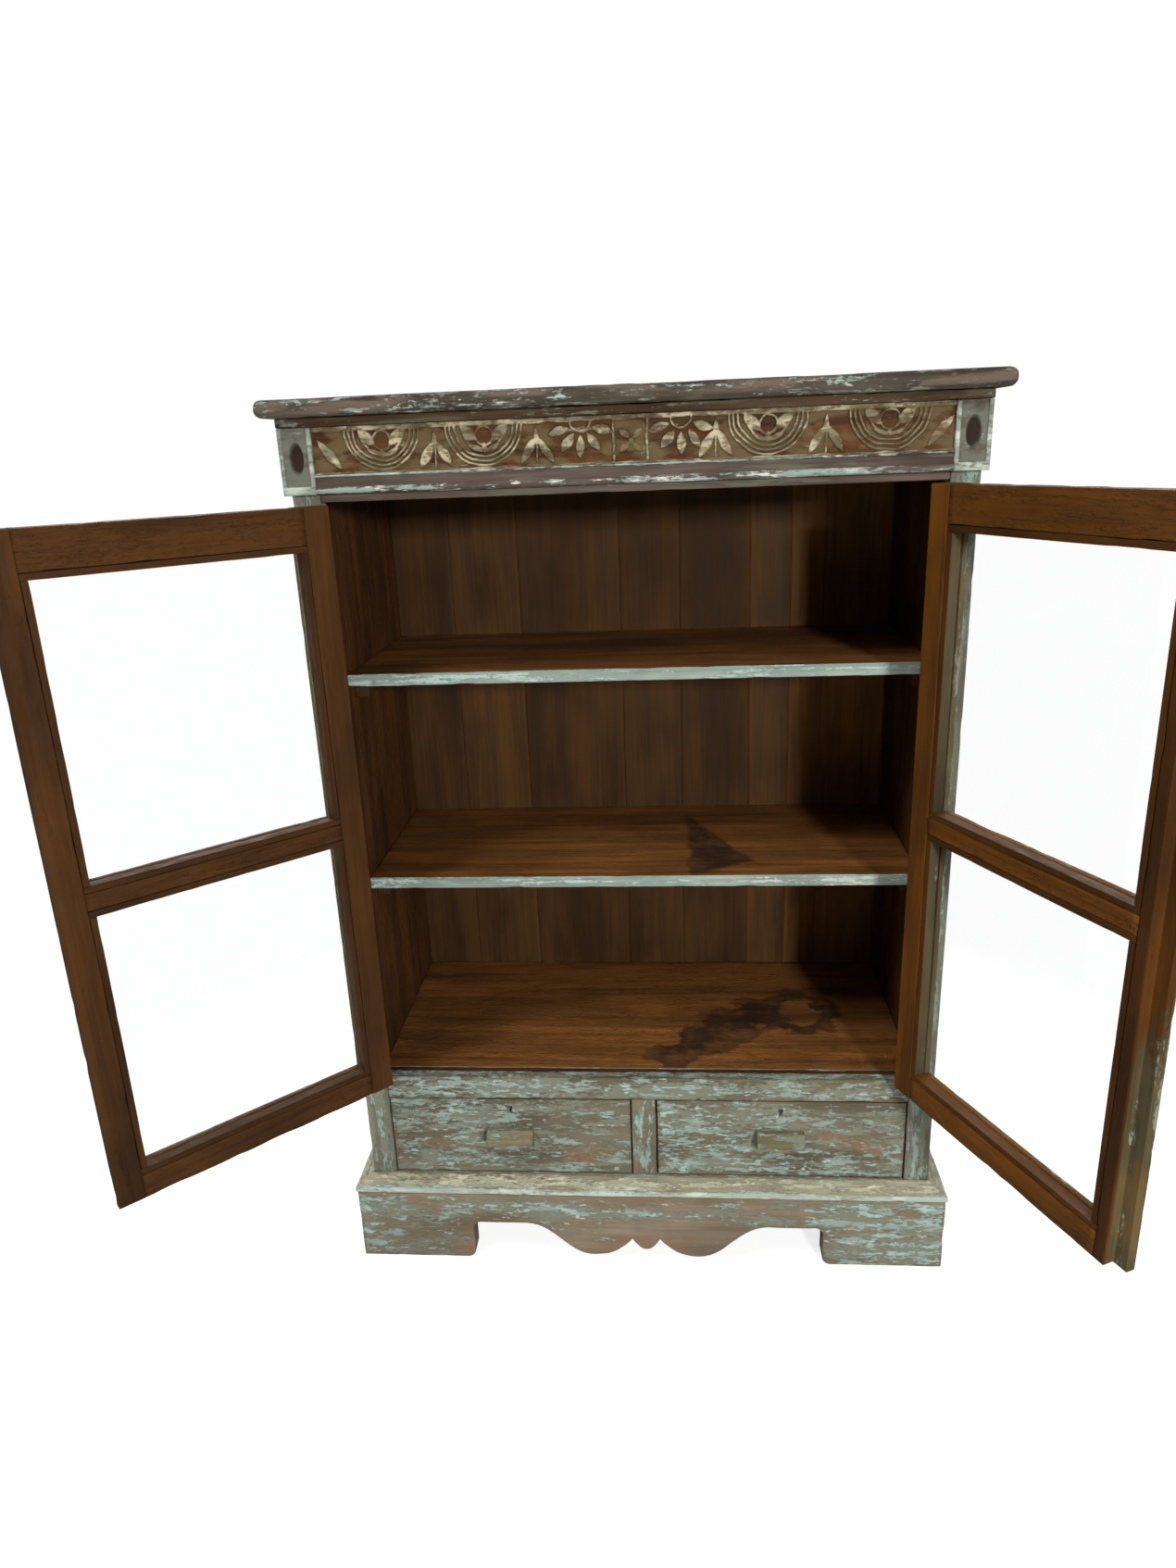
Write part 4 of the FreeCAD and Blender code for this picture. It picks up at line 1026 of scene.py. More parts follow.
def relief_panel(low, high, sunk, seed, pitch=PANEL_PITCH, radius=PANEL_EDGE, **carried):
    """A panel that faces -Y: points stand back from the front by sunk(x, z) and by the border's rounding;
    a skirt and one face at the back close it.  Carried values are functions of x and z."""
    across, across_inset = panel_line(low[X], high[X], pitch, radius)
    up, up_inset = panel_line(low[Z], high[Z], pitch, radius)
    x, z = np.meshgrid(across, up)
    back_off = np.maximum(across_inset[None, :], up_inset[:, None])
    border = np.minimum(np.minimum(x - low[X], high[X] - x), np.minimum(z - low[Z], high[Z] - z))
    near = np.exp(-border / EDGE_FADE)
    front = np.stack([x, np.full_like(x, low[Y]), z], axis=-1)
    drift = (1 + ripple(front, seed + 1, WARP_SIZE)) * WARP_DEPTH
    front[..., Y] += np.maximum(sunk(x, z), back_off) + chips(front, near, seed) + drift
    index = np.arange(x.size).reshape(x.shape)
    quads = np.stack([index[:-1, :-1], index[:-1, 1:], index[1:, 1:], index[1:, :-1]], axis=-1).reshape(-1, 4)
    rim = np.concatenate([index[0, :-1], index[:-1, -1], index[-1, :0:-1], index[:0:-1, 0]])
    behind = x.size + np.arange(len(rim))
    skirt = np.stack([rim, behind, np.roll(behind, -1), np.roll(rim, -1)], axis=-1)
    back = front.reshape(-1, 3)[rim]
    back[:, Y] = high[Y]
    points = np.concatenate([front.reshape(-1, 3), back])
    values = {"edge": near, **{name: field(x, z) for name, field in carried.items()}}
    values = {name: np.concatenate([value.ravel(), value.ravel()[rim]]) for name, value in values.items()}
    return {"points": points, "grain": points[:, [X, Z, Y]] + grain_offset(seed), "carried": values,
            "faces": [quads, skirt, behind[None, ::-1]]}


def soft(distance, blur=OUTLINE_BLUR):
    """1 inside a shape, 0 outside, with a smooth slope across its outline; distance is negative inside."""
    share = np.clip(0.5 - distance / (2 * blur), 0, 1)
    return share * share * (3 - 2 * share)


print("relief helpers ready")

# %% [markdown]
# ## The carver's motifs
# Few shapes make the whole drawing: a round line, and a pointed leaf whose width falls off with the
# square of the distance along its middle.  Leaves that come in mirrored pairs are listed once.  All sizes
# are in metres, and heights count down from the line below the upper border.

# %% Motifs
FRIEZE_LOW, FRIEZE_HIGH = corners_of("frieze_panel")
UPPER_BORDER = 0.0055
FRIEZE_TOP = FRIEZE_HIGH[Z] - UPPER_BORDER
LINE_WIDTH = 0.0026
LUNETTE_ARCS = (0.0255, 0.0335, 0.0385, 0.0435)
EYE_DROP = 0.0112
EYE_RADIUS = 0.0104
STEM_HALF = (0.0011, 0.0120)
STEM_DROP = 0.0330
SPRAY_RING = 0.0110
SPRAY_LEANS = (-1.25, -0.62, 0.0, 0.62, 1.25)
SPRAY_REACH = 0.026
SPRAY_DROP = 0.0015
SPRAY_LEAF = (0.0125, 0.0055)
FLOWER_X = 0.005
FLOWER_Z = FRIEZE_TOP - 0.0225
FLOWER_HALF = 0.019
FLOWER_LINE = 0.0016
FLOWER_BUTTON = 0.0036
FLOWER_REACH = 0.0108
FLOWER_PETAL = (0.0076, 0.0040)
FLOWER_HEIGHT = 0.5

# Leaves are (offset across, offset up, half length, half width, lean)
LUNETTE_LEAVES = ((0.0180, 0.0030, 0.0130, 0.0066, 0.85), (0.0095, -0.0135, 0.0100, 0.0030, 1.15),
                  (0.0, -0.0130, 0.0060, 0.0030, 0.0))
PAIR_LEAVES = ((0.0, -0.0140, 0.0110, 0.0032, 0.0), (0.0098, -0.0292, 0.0172, 0.0054, -0.55))


def leaf_shape(x, z, centre_x, centre_z, half_length, half_width, lean):
    """Mask of a pointed leaf: its width falls off with the square of the distance along its middle line."""
    sine, cosine = math.sin(lean), math.cos(lean)
    along = (x - centre_x) * sine + (z - centre_z) * cosine
    across = (x - centre_x) * cosine - (z - centre_z) * sine
    return soft(np.abs(across) - half_width * (1 - (along / half_length) ** 2))


def mirrored_leaves(x, z, centre_x, centre_z, leaves):
    """Masks of leaves and of their mirror images."""
    return [leaf_shape(x, z, centre_x + side * across, centre_z + up, half_length, half_width, side * lean)
            for side in (-1, 1) for across, up, half_length, half_width, lean in leaves]


def ring_shape(x, z, centre_x, centre_z, radius):
    """Mask of a round line."""
    return soft(np.abs(np.hypot(x - centre_x, z - centre_z) - radius) - LINE_WIDTH / 2)


def lunette(x, z, centre):
    """Half circles hanging from the upper line, an eye with a ring, and petals that spread from the eye."""
    eye = FRIEZE_TOP - EYE_DROP
    shapes = [ring_shape(x, z, centre, FRIEZE_TOP, radius) for radius in LUNETTE_ARCS]
    shapes.append(ring_shape(x, z, centre, eye, EYE_RADIUS))
    return np.maximum.reduce(shapes + mirrored_leaves(x, z, centre, eye, LUNETTE_LEAVES))


def leaf_pair(x, z, centre):
    """Two leaves that spread downwards from a bud, with a thin stem between them."""
    stem = np.maximum(np.abs(x - centre) - STEM_HALF[0], np.abs(z - FRIEZE_TOP + STEM_DROP) - STEM_HALF[1])
    return np.maximum.reduce([soft(stem)] + mirrored_leaves(x, z, centre, FRIEZE_TOP, PAIR_LEAVES))


def spray(x, z, centre):
    """Leaves fanning out from the upper line, over one small half circle."""
    shapes = [ring_shape(x, z, centre, FRIEZE_TOP, SPRAY_RING)]
    for lean in SPRAY_LEANS:
        leaf_x = centre + SPRAY_REACH * math.sin(lean)
        leaf_z = FRIEZE_TOP - SPRAY_DROP - SPRAY_REACH * math.cos(lean)
        shapes.append(leaf_shape(x, z, leaf_x, leaf_z, *SPRAY_LEAF, -lean))
    return np.maximum.reduce(shapes)


def flower(x, z):
    """A square with upright lines at its sides and four low petals around a button."""
    shapes = [soft(np.hypot(x - FLOWER_X, z - FLOWER_Z) - FLOWER_BUTTON)]
    for quarter in range(4):
        lean = math.pi / 4 + quarter * math.pi / 2
        petal_x = FLOWER_X + FLOWER_REACH * math.sin(lean)
        petal_z = FLOWER_Z + FLOWER_REACH * math.cos(lean)
        shapes.append(leaf_shape(x, z, petal_x, petal_z, *FLOWER_PETAL, lean))
    lines = soft(np.abs(np.abs(x - FLOWER_X) - FLOWER_HALF) - FLOWER_LINE)
    return np.maximum(lines, FLOWER_HEIGHT * np.maximum.reduce(shapes))


print("motifs ready; line under the border at", round(FRIEZE_TOP, 4))

# %% [markdown]
# ## The frieze drawing
# The motifs stand where the carver put them, not quite evenly.  Before the distances are taken, the
# places wander a little, as lines do that are cut by hand.  The drawing is worn lower in some places than
# in others.

# %% The frieze drawing
LUNETTES = (-0.282, -0.163, 0.159, 0.293)
LEAF_PAIRS = (-0.220, -0.102, 0.101, 0.224)
SPRAYS = (-0.052, 0.062)
END_LEAVES = ((-0.345, -0.70), (0.349, 0.70))
END_LEAF_DROP = 0.0250
END_LEAF = (0.0220, 0.0060)
LOWER_BORDER = 0.0020
BORDER_HEIGHT = 0.8
HAND_SWAY = 0.0011
HAND_STROKE = 0.03
FRIEZE_DEPTH = 0.0038
SWAY_SEEDS = (84, 86)
RUBBED_DEPTH = 0.0007
RUBBED_SHARE = 0.3
TOOL_DEPTH = 0.0003

# Seed of the noise and size of its waves
RUBBING_WAVES = (81, 0.05)
TOOL_WAVES = (82, 0.009)


def panel_points(x, z):
    """Places on a panel as points, for noise."""
    return np.stack([x, 0 * x, z], axis=-1)


def frieze_drawing(x, z):
    """All raised parts of the frieze, with the upper and lower border lines."""
    points = panel_points(x, z)
    x = x + HAND_SWAY * ripple(points, SWAY_SEEDS[0], HAND_STROKE)
    z = z + HAND_SWAY * ripple(points, SWAY_SEEDS[1], HAND_STROKE)
    shapes = [BORDER_HEIGHT * soft(FRIEZE_TOP - z), BORDER_HEIGHT * soft(z - FRIEZE_LOW[Z] - LOWER_BORDER)]
    shapes += [lunette(x, z, centre) for centre in LUNETTES]
    shapes += [leaf_pair(x, z, centre) for centre in LEAF_PAIRS]
    shapes += [spray(x, z, centre) for centre in SPRAYS]
    shapes += [leaf_shape(x, z, centre, FRIEZE_TOP - END_LEAF_DROP, *END_LEAF, lean)
               for centre, lean in END_LEAVES]
    return np.maximum.reduce(shapes + [flower(x, z)])


def frieze_sunk(x, z):
    """How far the carved surface stands back: far in the ground, a little on worn drawing."""
    points = panel_points(x, z)
    rubbed = RUBBED_DEPTH * np.clip(ripple(points, *RUBBING_WAVES) + RUBBED_SHARE, 0, 1)
    tool_marks = TOOL_DEPTH * ripple(points, *TOOL_WAVES)
    return FRIEZE_DEPTH + tool_marks - (FRIEZE_DEPTH - rubbed) * frieze_drawing(x, z)


print("motifs:", len(LUNETTES + LEAF_PAIRS + SPRAYS + END_LEAVES) + 1)

# %% [markdown]
# ## Paint on carving
# The ground is brown with greenish dust in it, and the raised drawing kept pale paint.  A finish could
# look for hollows by itself, with a pointiness or ambient occlusion node; the mask that the mesh carries
# is sharper and costs nothing.  Inside the half circles and around the sprays the ground is clean.

# %% The carved frieze
DUST = ((26.0, 60.0), 3.0)
DUST_RANGE = (0.38, 0.56)
DUST_SETTLED = (0.0, 1.0, 0.9, 0.15)
PALE = ((16.0, 40.0), 5.0)
PALE_RANGE = (0.46, 0.62)
LEFT_OVER = ((60.0, 130.0), 8.0)
LEFT_OVER_BLUR = (-0.08, 0.06)
STRAY = ((30.0, 100.0), 9.0)
STRAY_RANGE = (0.60, 0.66, 0.0, 0.6)
RAISED_RANGE = (0.25, 0.85)
LEAST_PAINT = 0.2
CRUMBLY = {"detail": 6.0, "roughness": 0.65}
# Dark brown where the mesh says bare, used in the corner blocks' niches: bare wood and painted shade of the hollow
SHADED_HOLLOW = tint(44, 32, 20)
CARVED_RELIEF = 0.0005
CARVED_ROUGHNESS = 0.75
FRIEZE_SEED = 83
CLEAN_BLUR = 0.004
SPRAY_CLEAN = 0.038
SPRAY_CLEAN_BLUR = 0.006
SPRAY_CLEANNESS = 0.8


def carved_paint(name, ground, dust_colour, pale_colours, kept):
    """Brown ground with dust in it; pale paint on the raised drawing, where the noise left it."""
    finish = Finish(name)
    along = finish.read("grain", "Vector")
    colour, figure = grain_colour(finish, along, *ground)
    dust = finish.step(finish.noise(along, *DUST, **CLOUDY), *DUST_RANGE)
    settled = finish.step(finish.read("hold"), *DUST_SETTLED)
    colour = finish.mix(finish.times(dust, settled), colour, dust_colour)
    pale = finish.mix(finish.step(finish.noise(along, *PALE), *PALE_RANGE), *pale_colours)
    left_over = finish.noise(along, *LEFT_OVER, **CRUMBLY)
    left_over = finish.step(left_over, *(kept + blur for blur in LEFT_OVER_BLUR), LEAST_PAINT, 1.0)
    mask = finish.times(finish.step(finish.read("relief"), *RAISED_RANGE), left_over)
    stray = finish.noise(along, *STRAY, **CRUMBLY)
    mask = finish.larger(mask, finish.step(stray, *STRAY_RANGE))
    # Where the mesh says bare, the colour turns to the dark hollow brown: partly painted shade
    colour = finish.mix(finish.read("bare"), finish.mix(mask, colour, pale), SHADED_HOLLOW)
    finish.colour(finish.shaded(colour, finish.read("tone")))
    finish.bump(finish.plus(figure, mask), CARVED_RELIEF)
    finish.gloss(CARVED_ROUGHNESS)
    return finish.material


def clean_ground(x, z):
    """Where the brown ground shows without dust: inside the half circles and around the sprays."""
    shapes = [soft(np.hypot(x - centre, z - FRIEZE_TOP) - LUNETTE_ARCS[0], CLEAN_BLUR) for centre in LUNETTES]
    shapes += [SPRAY_CLEANNESS * soft(np.hypot(x - centre, z - FRIEZE_TOP) - SPRAY_CLEAN, SPRAY_CLEAN_BLUR)
               for centre in SPRAYS]
    return np.maximum.reduce(shapes)


frieze_finish = carved_paint("frieze_finish", (tint(48, 30, 13), tint(84, 51, 22)), tint(94, 79, 52),
                             (tint(116, 108, 84), tint(178, 166, 137)), kept=0.49)
frieze = relief_panel(FRIEZE_LOW, FRIEZE_HIGH, frieze_sunk, FRIEZE_SEED, relief=frieze_drawing,
                      hold=clean_ground)
add_piece("carved_frieze", [frieze], frieze_finish, "carcass", "frieze_panel")
print("frieze points", len(frieze["points"]))

# %% [markdown]
# ## Corner blocks
# A block ends the frieze at each side: an oval niche between two raised edges, above a plain foot.  It is
# a height field like the frieze, and the niche counts as bare; its dark brown is bare wood with painted
# shade of the hollow.

# %% Corner blocks
NICHE_UP = 0.0015
NICHE_HALF = (0.0075, 0.0165)
NICHE_DEPTH = 0.0055
NICHE_BLUR = 0.0016
BLOCK_FOOT = 0.0095
BLOCK_RIM = 0.0052
BLOCK_SUNK = 0.0022
BLOCK_SEED = 85


def block_fields(low, high):
    """How far a corner block is sunk, where it is pale and where its niche is, as functions of x and z."""
    middle_x = (low[X] + high[X]) / 2
    middle_z = (low[Z] + BLOCK_FOOT + high[Z]) / 2 - NICHE_UP

    def niche(x, z):
        oval = np.hypot((x - middle_x) / NICHE_HALF[0], (z - middle_z) / NICHE_HALF[1]) - 1
        return soft(oval * NICHE_HALF[0], NICHE_BLUR)

    def raised(x, z):
        rim = np.minimum(x - low[X], high[X] - x)
        return np.maximum(soft(rim - BLOCK_RIM), soft(z - low[Z] - BLOCK_FOOT))

    def sunk(x, z):
        return BLOCK_SUNK * (1 - raised(x, z)) + NICHE_DEPTH * niche(x, z)

    def pale(x, z):
        return raised(x, z) * (1 - niche(x, z))

    return sunk, pale, niche


block_finish = carved_paint("block_finish", (tint(70, 60, 48), tint(104, 96, 82)), tint(110, 116, 104),
                            (tint(132, 138, 124), tint(176, 186, 170)), kept=0.46)
blocks = []
for seed, (low, high) in enumerate(boxes_of("corner_blocks", X), BLOCK_SEED):
    sunk, pale, niche = block_fields(low, high)
    blocks.append(relief_panel(low, high, sunk, seed, relief=pale, bare=niche))
add_piece("carved_blocks", blocks, block_finish, "carcass", "corner_blocks")
print("corner blocks", len(blocks))

# %% [markdown]
# ## Base moulding
# The base moulding is one section carried round three sides with mitred corners.  A mitre could be cut
# with a boolean; here the length of each strand simply grows with its distance from the carcass.  The
# slope kept cream paint, the foot below it turquoise.

# %% Base moulding
BASE_OUTLINE = ((0.0, 0.0), (0.023, 0.0), (0.023, 0.010), (0.0205, 0.010), (0.004, 0.020), (0.0, 0.020))
BASE_RADII = (0.0004, 0.0016, 0.0022, 0.0010, 0.0016, 0.0004)
SLOPE_UP = 0.010
SLOPE_BLUR = (-0.001, 0.003)
STRAND_END = 0.0004
FRONT_STRAND_SEED = 91
SIDE_STRAND_SEED = 92

low, high = corners_of("base_moulding")
base_outline = rounded_outline(np.array(BASE_OUTLINE) + (0.0, low[Z]), BASE_RADII)
slope_hold = rising(DEPTH, *(low[Z] + SLOPE_UP + blur for blur in SLOPE_BLUR))


def mitre_front(local):
    """Longer towards the outside, at both ends."""
    local[..., LENGTH] *= 1 + local[..., ACROSS] / HALF_WIDTH
    return local


def mitre_side(local):
    """Longer towards the outside, at the front end only."""
    local[..., LENGTH] += local[..., ACROSS] * local[..., LENGTH] / -FRONT_PLANE
    return local


front_axes = np.array([(0, -1, 0), (0, 0, 1), (1, 0, 0)])
strands = [carried_board(base_outline, rounded_stations(-HALF_WIDTH, HALF_WIDTH, STRAND_END), front_axes,
                         np.array([0, FRONT_PLANE, 0]), FRONT_STRAND_SEED, mitre_front, hold=slope_hold)]
side_stations = rounded_stations(FRONT_PLANE, 0.0, STRAND_END)
for side in (-1, 1):
    side_axes = np.array([(side, 0, 0), (0, 0, 1), (0, 1, 0)])
    origin = np.array([side * HALF_WIDTH, 0, 0])
    strands.append(carried_board(base_outline, side_stations, side_axes, origin, SIDE_STRAND_SEED + side,
                                 mitre_side, hold=slope_hold))
add_piece("worn_base_moulding", strands, sill_paint, "carcass", "base_moulding")
print("base moulding strands", len(strands))

# %% [markdown]
# ## The sawn line of the plinth
# The plinth's front was sawn to a wavy line: a point in the middle, a lobe, an arch and a foot, the same
# on both sides.  Curved stretches are Bezier curves and quarter circles, straight ones evenly spaced
# points.

# %% The sawn line
CURVE_STEPS = 15
APRON_TURN = 0.012
MIDDLE_DROP = (0.0, 0.019)
MIDDLE_HANDLE = (0.010, 0.019)
CUSP = (0.020, 0.037)
CUSP_HANDLE = (0.042, 0.008)
LOBE = (0.075, 0.008)
LOBE_HANDLE = (0.1166, 0.008)
ARCH_HANDLE = (0.1324, 0.062)
ARCH_START = (0.174, 0.062)
FOOT_INNER = 0.252

# How many points the straight stretches have, from the arch round to the upper edge
ARCH_COUNT = 9
FOOT_COUNT = 6
SOLE_COUNT = 24
END_COUNT = 18
UPPER_COUNT = 60


def curve(*handles):
    """Points on a Bezier curve, without its last: repeated straight mixing of neighbouring handles."""
    share = np.linspace(0, 1, CURVE_STEPS)[:, None]
    rows = [np.asarray(handle, float)[None] for handle in handles]
    while len(rows) > 1:
        rows = [first * (1 - share) + second * share for first, second in zip(rows, rows[1:])]
    return rows[0][:-1]


def quarter_turn(centre, first, last):
    """Points on a quarter circle between two angles, without its last."""
    angle = np.linspace(first, last, CURVE_STEPS)[:-1, None]
    return np.asarray(centre) + APRON_TURN * np.concatenate([np.cos(angle), np.sin(angle)], axis=1)


def straight(start, end, count):
    """Points on a straight line, without its last."""
    return np.linspace(start, end, count)[:-1]


low, high = corners_of("plinth_apron")
arch_top = ARCH_START[1]
half_edge = np.concatenate([
    curve(MIDDLE_DROP, MIDDLE_HANDLE, CUSP),
    curve(CUSP, CUSP_HANDLE, LOBE),
    curve(LOBE, LOBE_HANDLE, ARCH_HANDLE, ARCH_START),
    straight(ARCH_START, (FOOT_INNER - APRON_TURN, arch_top), ARCH_COUNT),
    quarter_turn((FOOT_INNER - APRON_TURN, arch_top - APRON_TURN), np.pi / 2, 0),
    straight((FOOT_INNER, arch_top - APRON_TURN), (FOOT_INNER, APRON_TURN), FOOT_COUNT),
    quarter_turn((FOOT_INNER + APRON_TURN, APRON_TURN), np.pi, 3 * np.pi / 2),
    straight((FOOT_INNER + APRON_TURN, 0.0), (high[X], 0.0), SOLE_COUNT),
    straight((high[X], 0.0), (high[X], high[Z]), END_COUNT),
    straight((high[X], high[Z]), (0.0, high[Z]), UPPER_COUNT)])
other_half = np.concatenate([[(0.0, high[Z])], half_edge[:0:-1] * (-1, 1)])
saw_line = np.concatenate([half_edge, other_half])
print("points on the sawn line", len(saw_line))

# %% [markdown]
# ## Plinth
# The apron is that line carried through the board's thickness.  Its faces get one more ring of points
# inside the sawn edge, so that the wear along the edge fades towards the face.  Paint holds better on the
# feet, most on the right one, than on the arch.

# %% Plinth
APRON_RING = 0.0060
SHARPEST_MITRE = 0.6
APRON_SEED = 95
PLINTH_SIDE_SEED = 96
ARCH_HOLD = 0.22
LEFT_FOOT_HOLD = 0.45
LEFT_FOOT_RANGE = (0.20, 0.34)
RIGHT_FOOT_HOLD = 0.48
RIGHT_FOOT_RANGE = (0.10, 0.34)

before = saw_line - np.roll(saw_line, 1, axis=0)
after = np.roll(saw_line, -1, axis=0) - saw_line
before /= np.linalg.norm(before, axis=1, keepdims=True)
after /= np.linalg.norm(after, axis=1, keepdims=True)
heading = before + after
saw_normals = np.stack([heading[:, 1], -heading[:, 0]], axis=1)
saw_normals /= np.maximum(np.sum(saw_normals ** 2, axis=1, keepdims=True) / 2, SHARPEST_MITRE)
saw_outline = (saw_line, saw_normals, np.ones(len(saw_line)), np.full(len(saw_line), APRON_RING))
places, insets = rounded_stations(low[Y], high[Y], EDGE_RADIUS)
apron_stations = (np.concatenate([places[:1], places, places[-1:]]),
                  np.concatenate([[APRON_RING], insets, [APRON_RING]]))


def foot_hold(across, depth, length):
    """More paint towards the feet."""
    left = LEFT_FOOT_HOLD * ramp(-across, *LEFT_FOOT_RANGE)
    return ARCH_HOLD + left + RIGHT_FOOT_HOLD * ramp(across, *RIGHT_FOOT_RANGE)


def ring_edge(near):
    """The innermost ring of each face lies away from the sawn edge."""
    near[[0, -1]] = 0.0
    return near


apron = carried_board(saw_outline, apron_stations, np.eye(3)[[X, Z, Y]], np.zeros(3), APRON_SEED,
                      lengthwise=ACROSS, edge_change=ring_edge, hold=foot_hold)
add_piece("worn_apron", [apron], apron_paint, "carcass", "plinth_apron")
sides = [straight_board(low, high, Y, seed)
         for seed, (low, high) in enumerate(boxes_of("plinth_sides", X), PLINTH_SIDE_SEED)]
add_piece("worn_plinth_sides", sides, apron_paint, "carcass", "plinth_sides")
print("apron points", len(apron["points"]), "sides", len(sides))

# %% [markdown]
# ## Drawers
# A drawer front is a thick board with a keyhole and a wooden pull.  The keyhole is a height field: a
# round hole with a slot below it.  The pull is a bar with a sloped top and a hollow below its nose for
# the fingers.

# %% Drawer fronts and pulls
KEYHOLE_LEVEL = 0.2429
KEYHOLE_RADIUS = 0.0034
KEYHOLE_DEPTH = 0.0110
KEYHOLE_BLUR = 0.0006
SLOT_HALF = (0.0015, 0.00425)
SLOT_DROP = 0.005
DRAWER_PITCH = 0.0014
DRAWER_SEEDS = {"left": 101, "right": 105}
PULL_SEEDS = 2
PULL_OUTLINE = ((0.0, -0.013), (-0.007, -0.013), (-0.007, -0.004), (-0.018, -0.004), (-0.018, 0.004),
                (-0.007, 0.013), (0.0, 0.013))
PULL_RADII = (0.0004, 0.0016, 0.0016, 0.0022, 0.0022, 0.0018, 0.0004)


def keyhole_at(centre):
    """Where the keyhole is and how far it is sunk, as functions of x and z."""
    def hole(x, z):
        round_part = np.hypot(x - centre, z - KEYHOLE_LEVEL) - KEYHOLE_RADIUS
        slot_level = KEYHOLE_LEVEL - SLOT_DROP
        slot_part = np.maximum(np.abs(x - centre) - SLOT_HALF[0], np.abs(z - slot_level) - SLOT_HALF[1])
        return soft(np.minimum(round_part, slot_part), KEYHOLE_BLUR)

    def sunk(x, z):
        return KEYHOLE_DEPTH * hole(x, z)

    return hole, sunk


for side, seed in DRAWER_SEEDS.items():
    drawer = side + "_drawer"
    low, high = corners_of(drawer + "_front")
    hole, sunk = keyhole_at((low[X] + high[X]) / 2)
    front = relief_panel(low, high, sunk, seed, DRAWER_PITCH, EDGE_RADIUS, relief=hole)
    add_piece("worn_" + drawer + "_front", [front], front_paint, drawer, drawer + "_front")
    low, high = corners_of(drawer + "_pull")
    outline = rounded_outline(np.array(PULL_OUTLINE) + (FRONT_PLANE, (low[Z] + high[Z]) / 2), PULL_RADII)
    pull = carried_board(outline, rounded_stations(low[X], high[X], EDGE_RADIUS), np.eye(3)[[Y, Z, X]],
                         np.zeros(3), seed + PULL_SEEDS)
    add_piece("worn_" + drawer + "_pull", [pull], pull_paint, drawer, drawer + "_pull")
    print(side, "drawer front points", len(front["points"]))

# %% [markdown]
# ## Doors in their own directions
# Each door is a frame of two stiles and three rails with a rebate on the inside for the glass.  The doors
# stand open, so their sizes are read from the CAD pieces in the door's own directions: along the leaf
# from the hinge, and through it from the outer to the inner face.  Outer face, edges and bare wood differ
# in tone, and the right door is lighter than the left: painted light, for the low lamp hardly reaches it.

# %% Door directions
OUTER_TONE = 0.95
FACE_ENDS = (0.001, 0.004)
UP = np.array([0.0, 0.0, 1.0])

# Tones of the painted edges and of the bare wood, by door and by piece; the right door's main tones are
# higher than the left's as painted light, for the low lamp hardly reaches its inner face
LEAF_TONES_WITH_PAINTED_LIGHT = {"left": (0.70, 0.70), "right": (1.09, 1.09), "right_hinge_stile": (0.85, 1.09),
              "right_meeting_stile": (1.40, 0.55)}
joints = {joint["name"]: joint for joint in frame["joints"]}


def leaf_axes(side):
    """Pivot, direction along the leaf and direction through it, from the joint's place and opening angle."""
    joint = joints[side + "_door_hinge"]
    opening = math.radians(-joint["range_deg"][0])
    hand = 1.0 if side == "left" else -1.0
    along = np.array([hand * math.cos(opening), -math.sin(opening), 0.0])
    through = np.array([hand * math.sin(opening), math.cos(opening), 0.0])
    return np.array(joint["pos_m"]) * (1, 1, 0), along, through


def leaf_box(side, node):
    """Lowest and highest values of a door piece along the leaf, through it and upwards."""
    pivot, along, through = leaf_axes(side)
    local = (vertices_of(side + "_door_" + node) - pivot) @ np.stack([along, through, UP], axis=1)
    return local.min(axis=0), local.max(axis=0)


def leaf_tone(side, node, outer_face, bare):
    """Tone of a door piece: one for paint outside, one for paint on the edges and one for bare wood."""
    edge_tone, wood_tone = LEAF_TONES_WITH_PAINTED_LIGHT.get(side + "_" + node, LEAF_TONES_WITH_PAINTED_LIGHT[side])
    paint_tone = rising(DEPTH, *(outer_face + end for end in FACE_ENDS), OUTER_TONE, edge_tone)

    def tone(*place):
        paint = paint_tone(*place)
        return paint + (wood_tone - paint) * bare(*place)

    return tone


print("joints:", ", ".join(sorted(joints)))

# %% [markdown]
# ## Stiles
# A stile is one outline carried upwards.  The rebate for the glass is cut into its sight edge.  Half the
# thickness of each meeting stile is cut away, so that the right leaf closes over the left one.  On the
# right leaf this lap is bare wood towards the top, where hands rubbed the paint off.

# %% Stiles
FRAME_EDGE = 0.0014
LAP_WIDTH = 0.017
LAP_CLEARANCE = 0.00075
LAP_BLUR = 0.002
LAP_FACE_ENDS = (0.002, 0.004)
LAP_WORN = (0.10, 0.45)
INNER_PAINT_ENDS = (-0.006, -0.001)
STILE_HOLDS = (0.5, -0.5)


def stile_corners(side, low, high, rebate, lip, lapped):
    """Section of a stile, along the leaf and through it."""
    (u0, v0, _), (u1, v1, _) = low, high
    if not lapped:
        return [(u0, v0), (u1, v0), (u1, lip), (u1 - rebate, lip), (u1 - rebate, v1), (u0, v1)]
    halfway = (v0 + v1) / 2
    step = u1 - LAP_WIDTH
    if side == "left":
        cut = halfway + LAP_CLEARANCE
        outside = [(u0, v0), (step, v0), (step, cut), (u1, cut), (u1, v1)]
    else:
        cut = halfway - LAP_CLEARANCE
        outside = [(u0, v0), (u1, v0), (u1, cut), (step, cut), (step, v1)]
    return outside + [(u0 + rebate, v1), (u0 + rebate, lip), (u0, lip)]


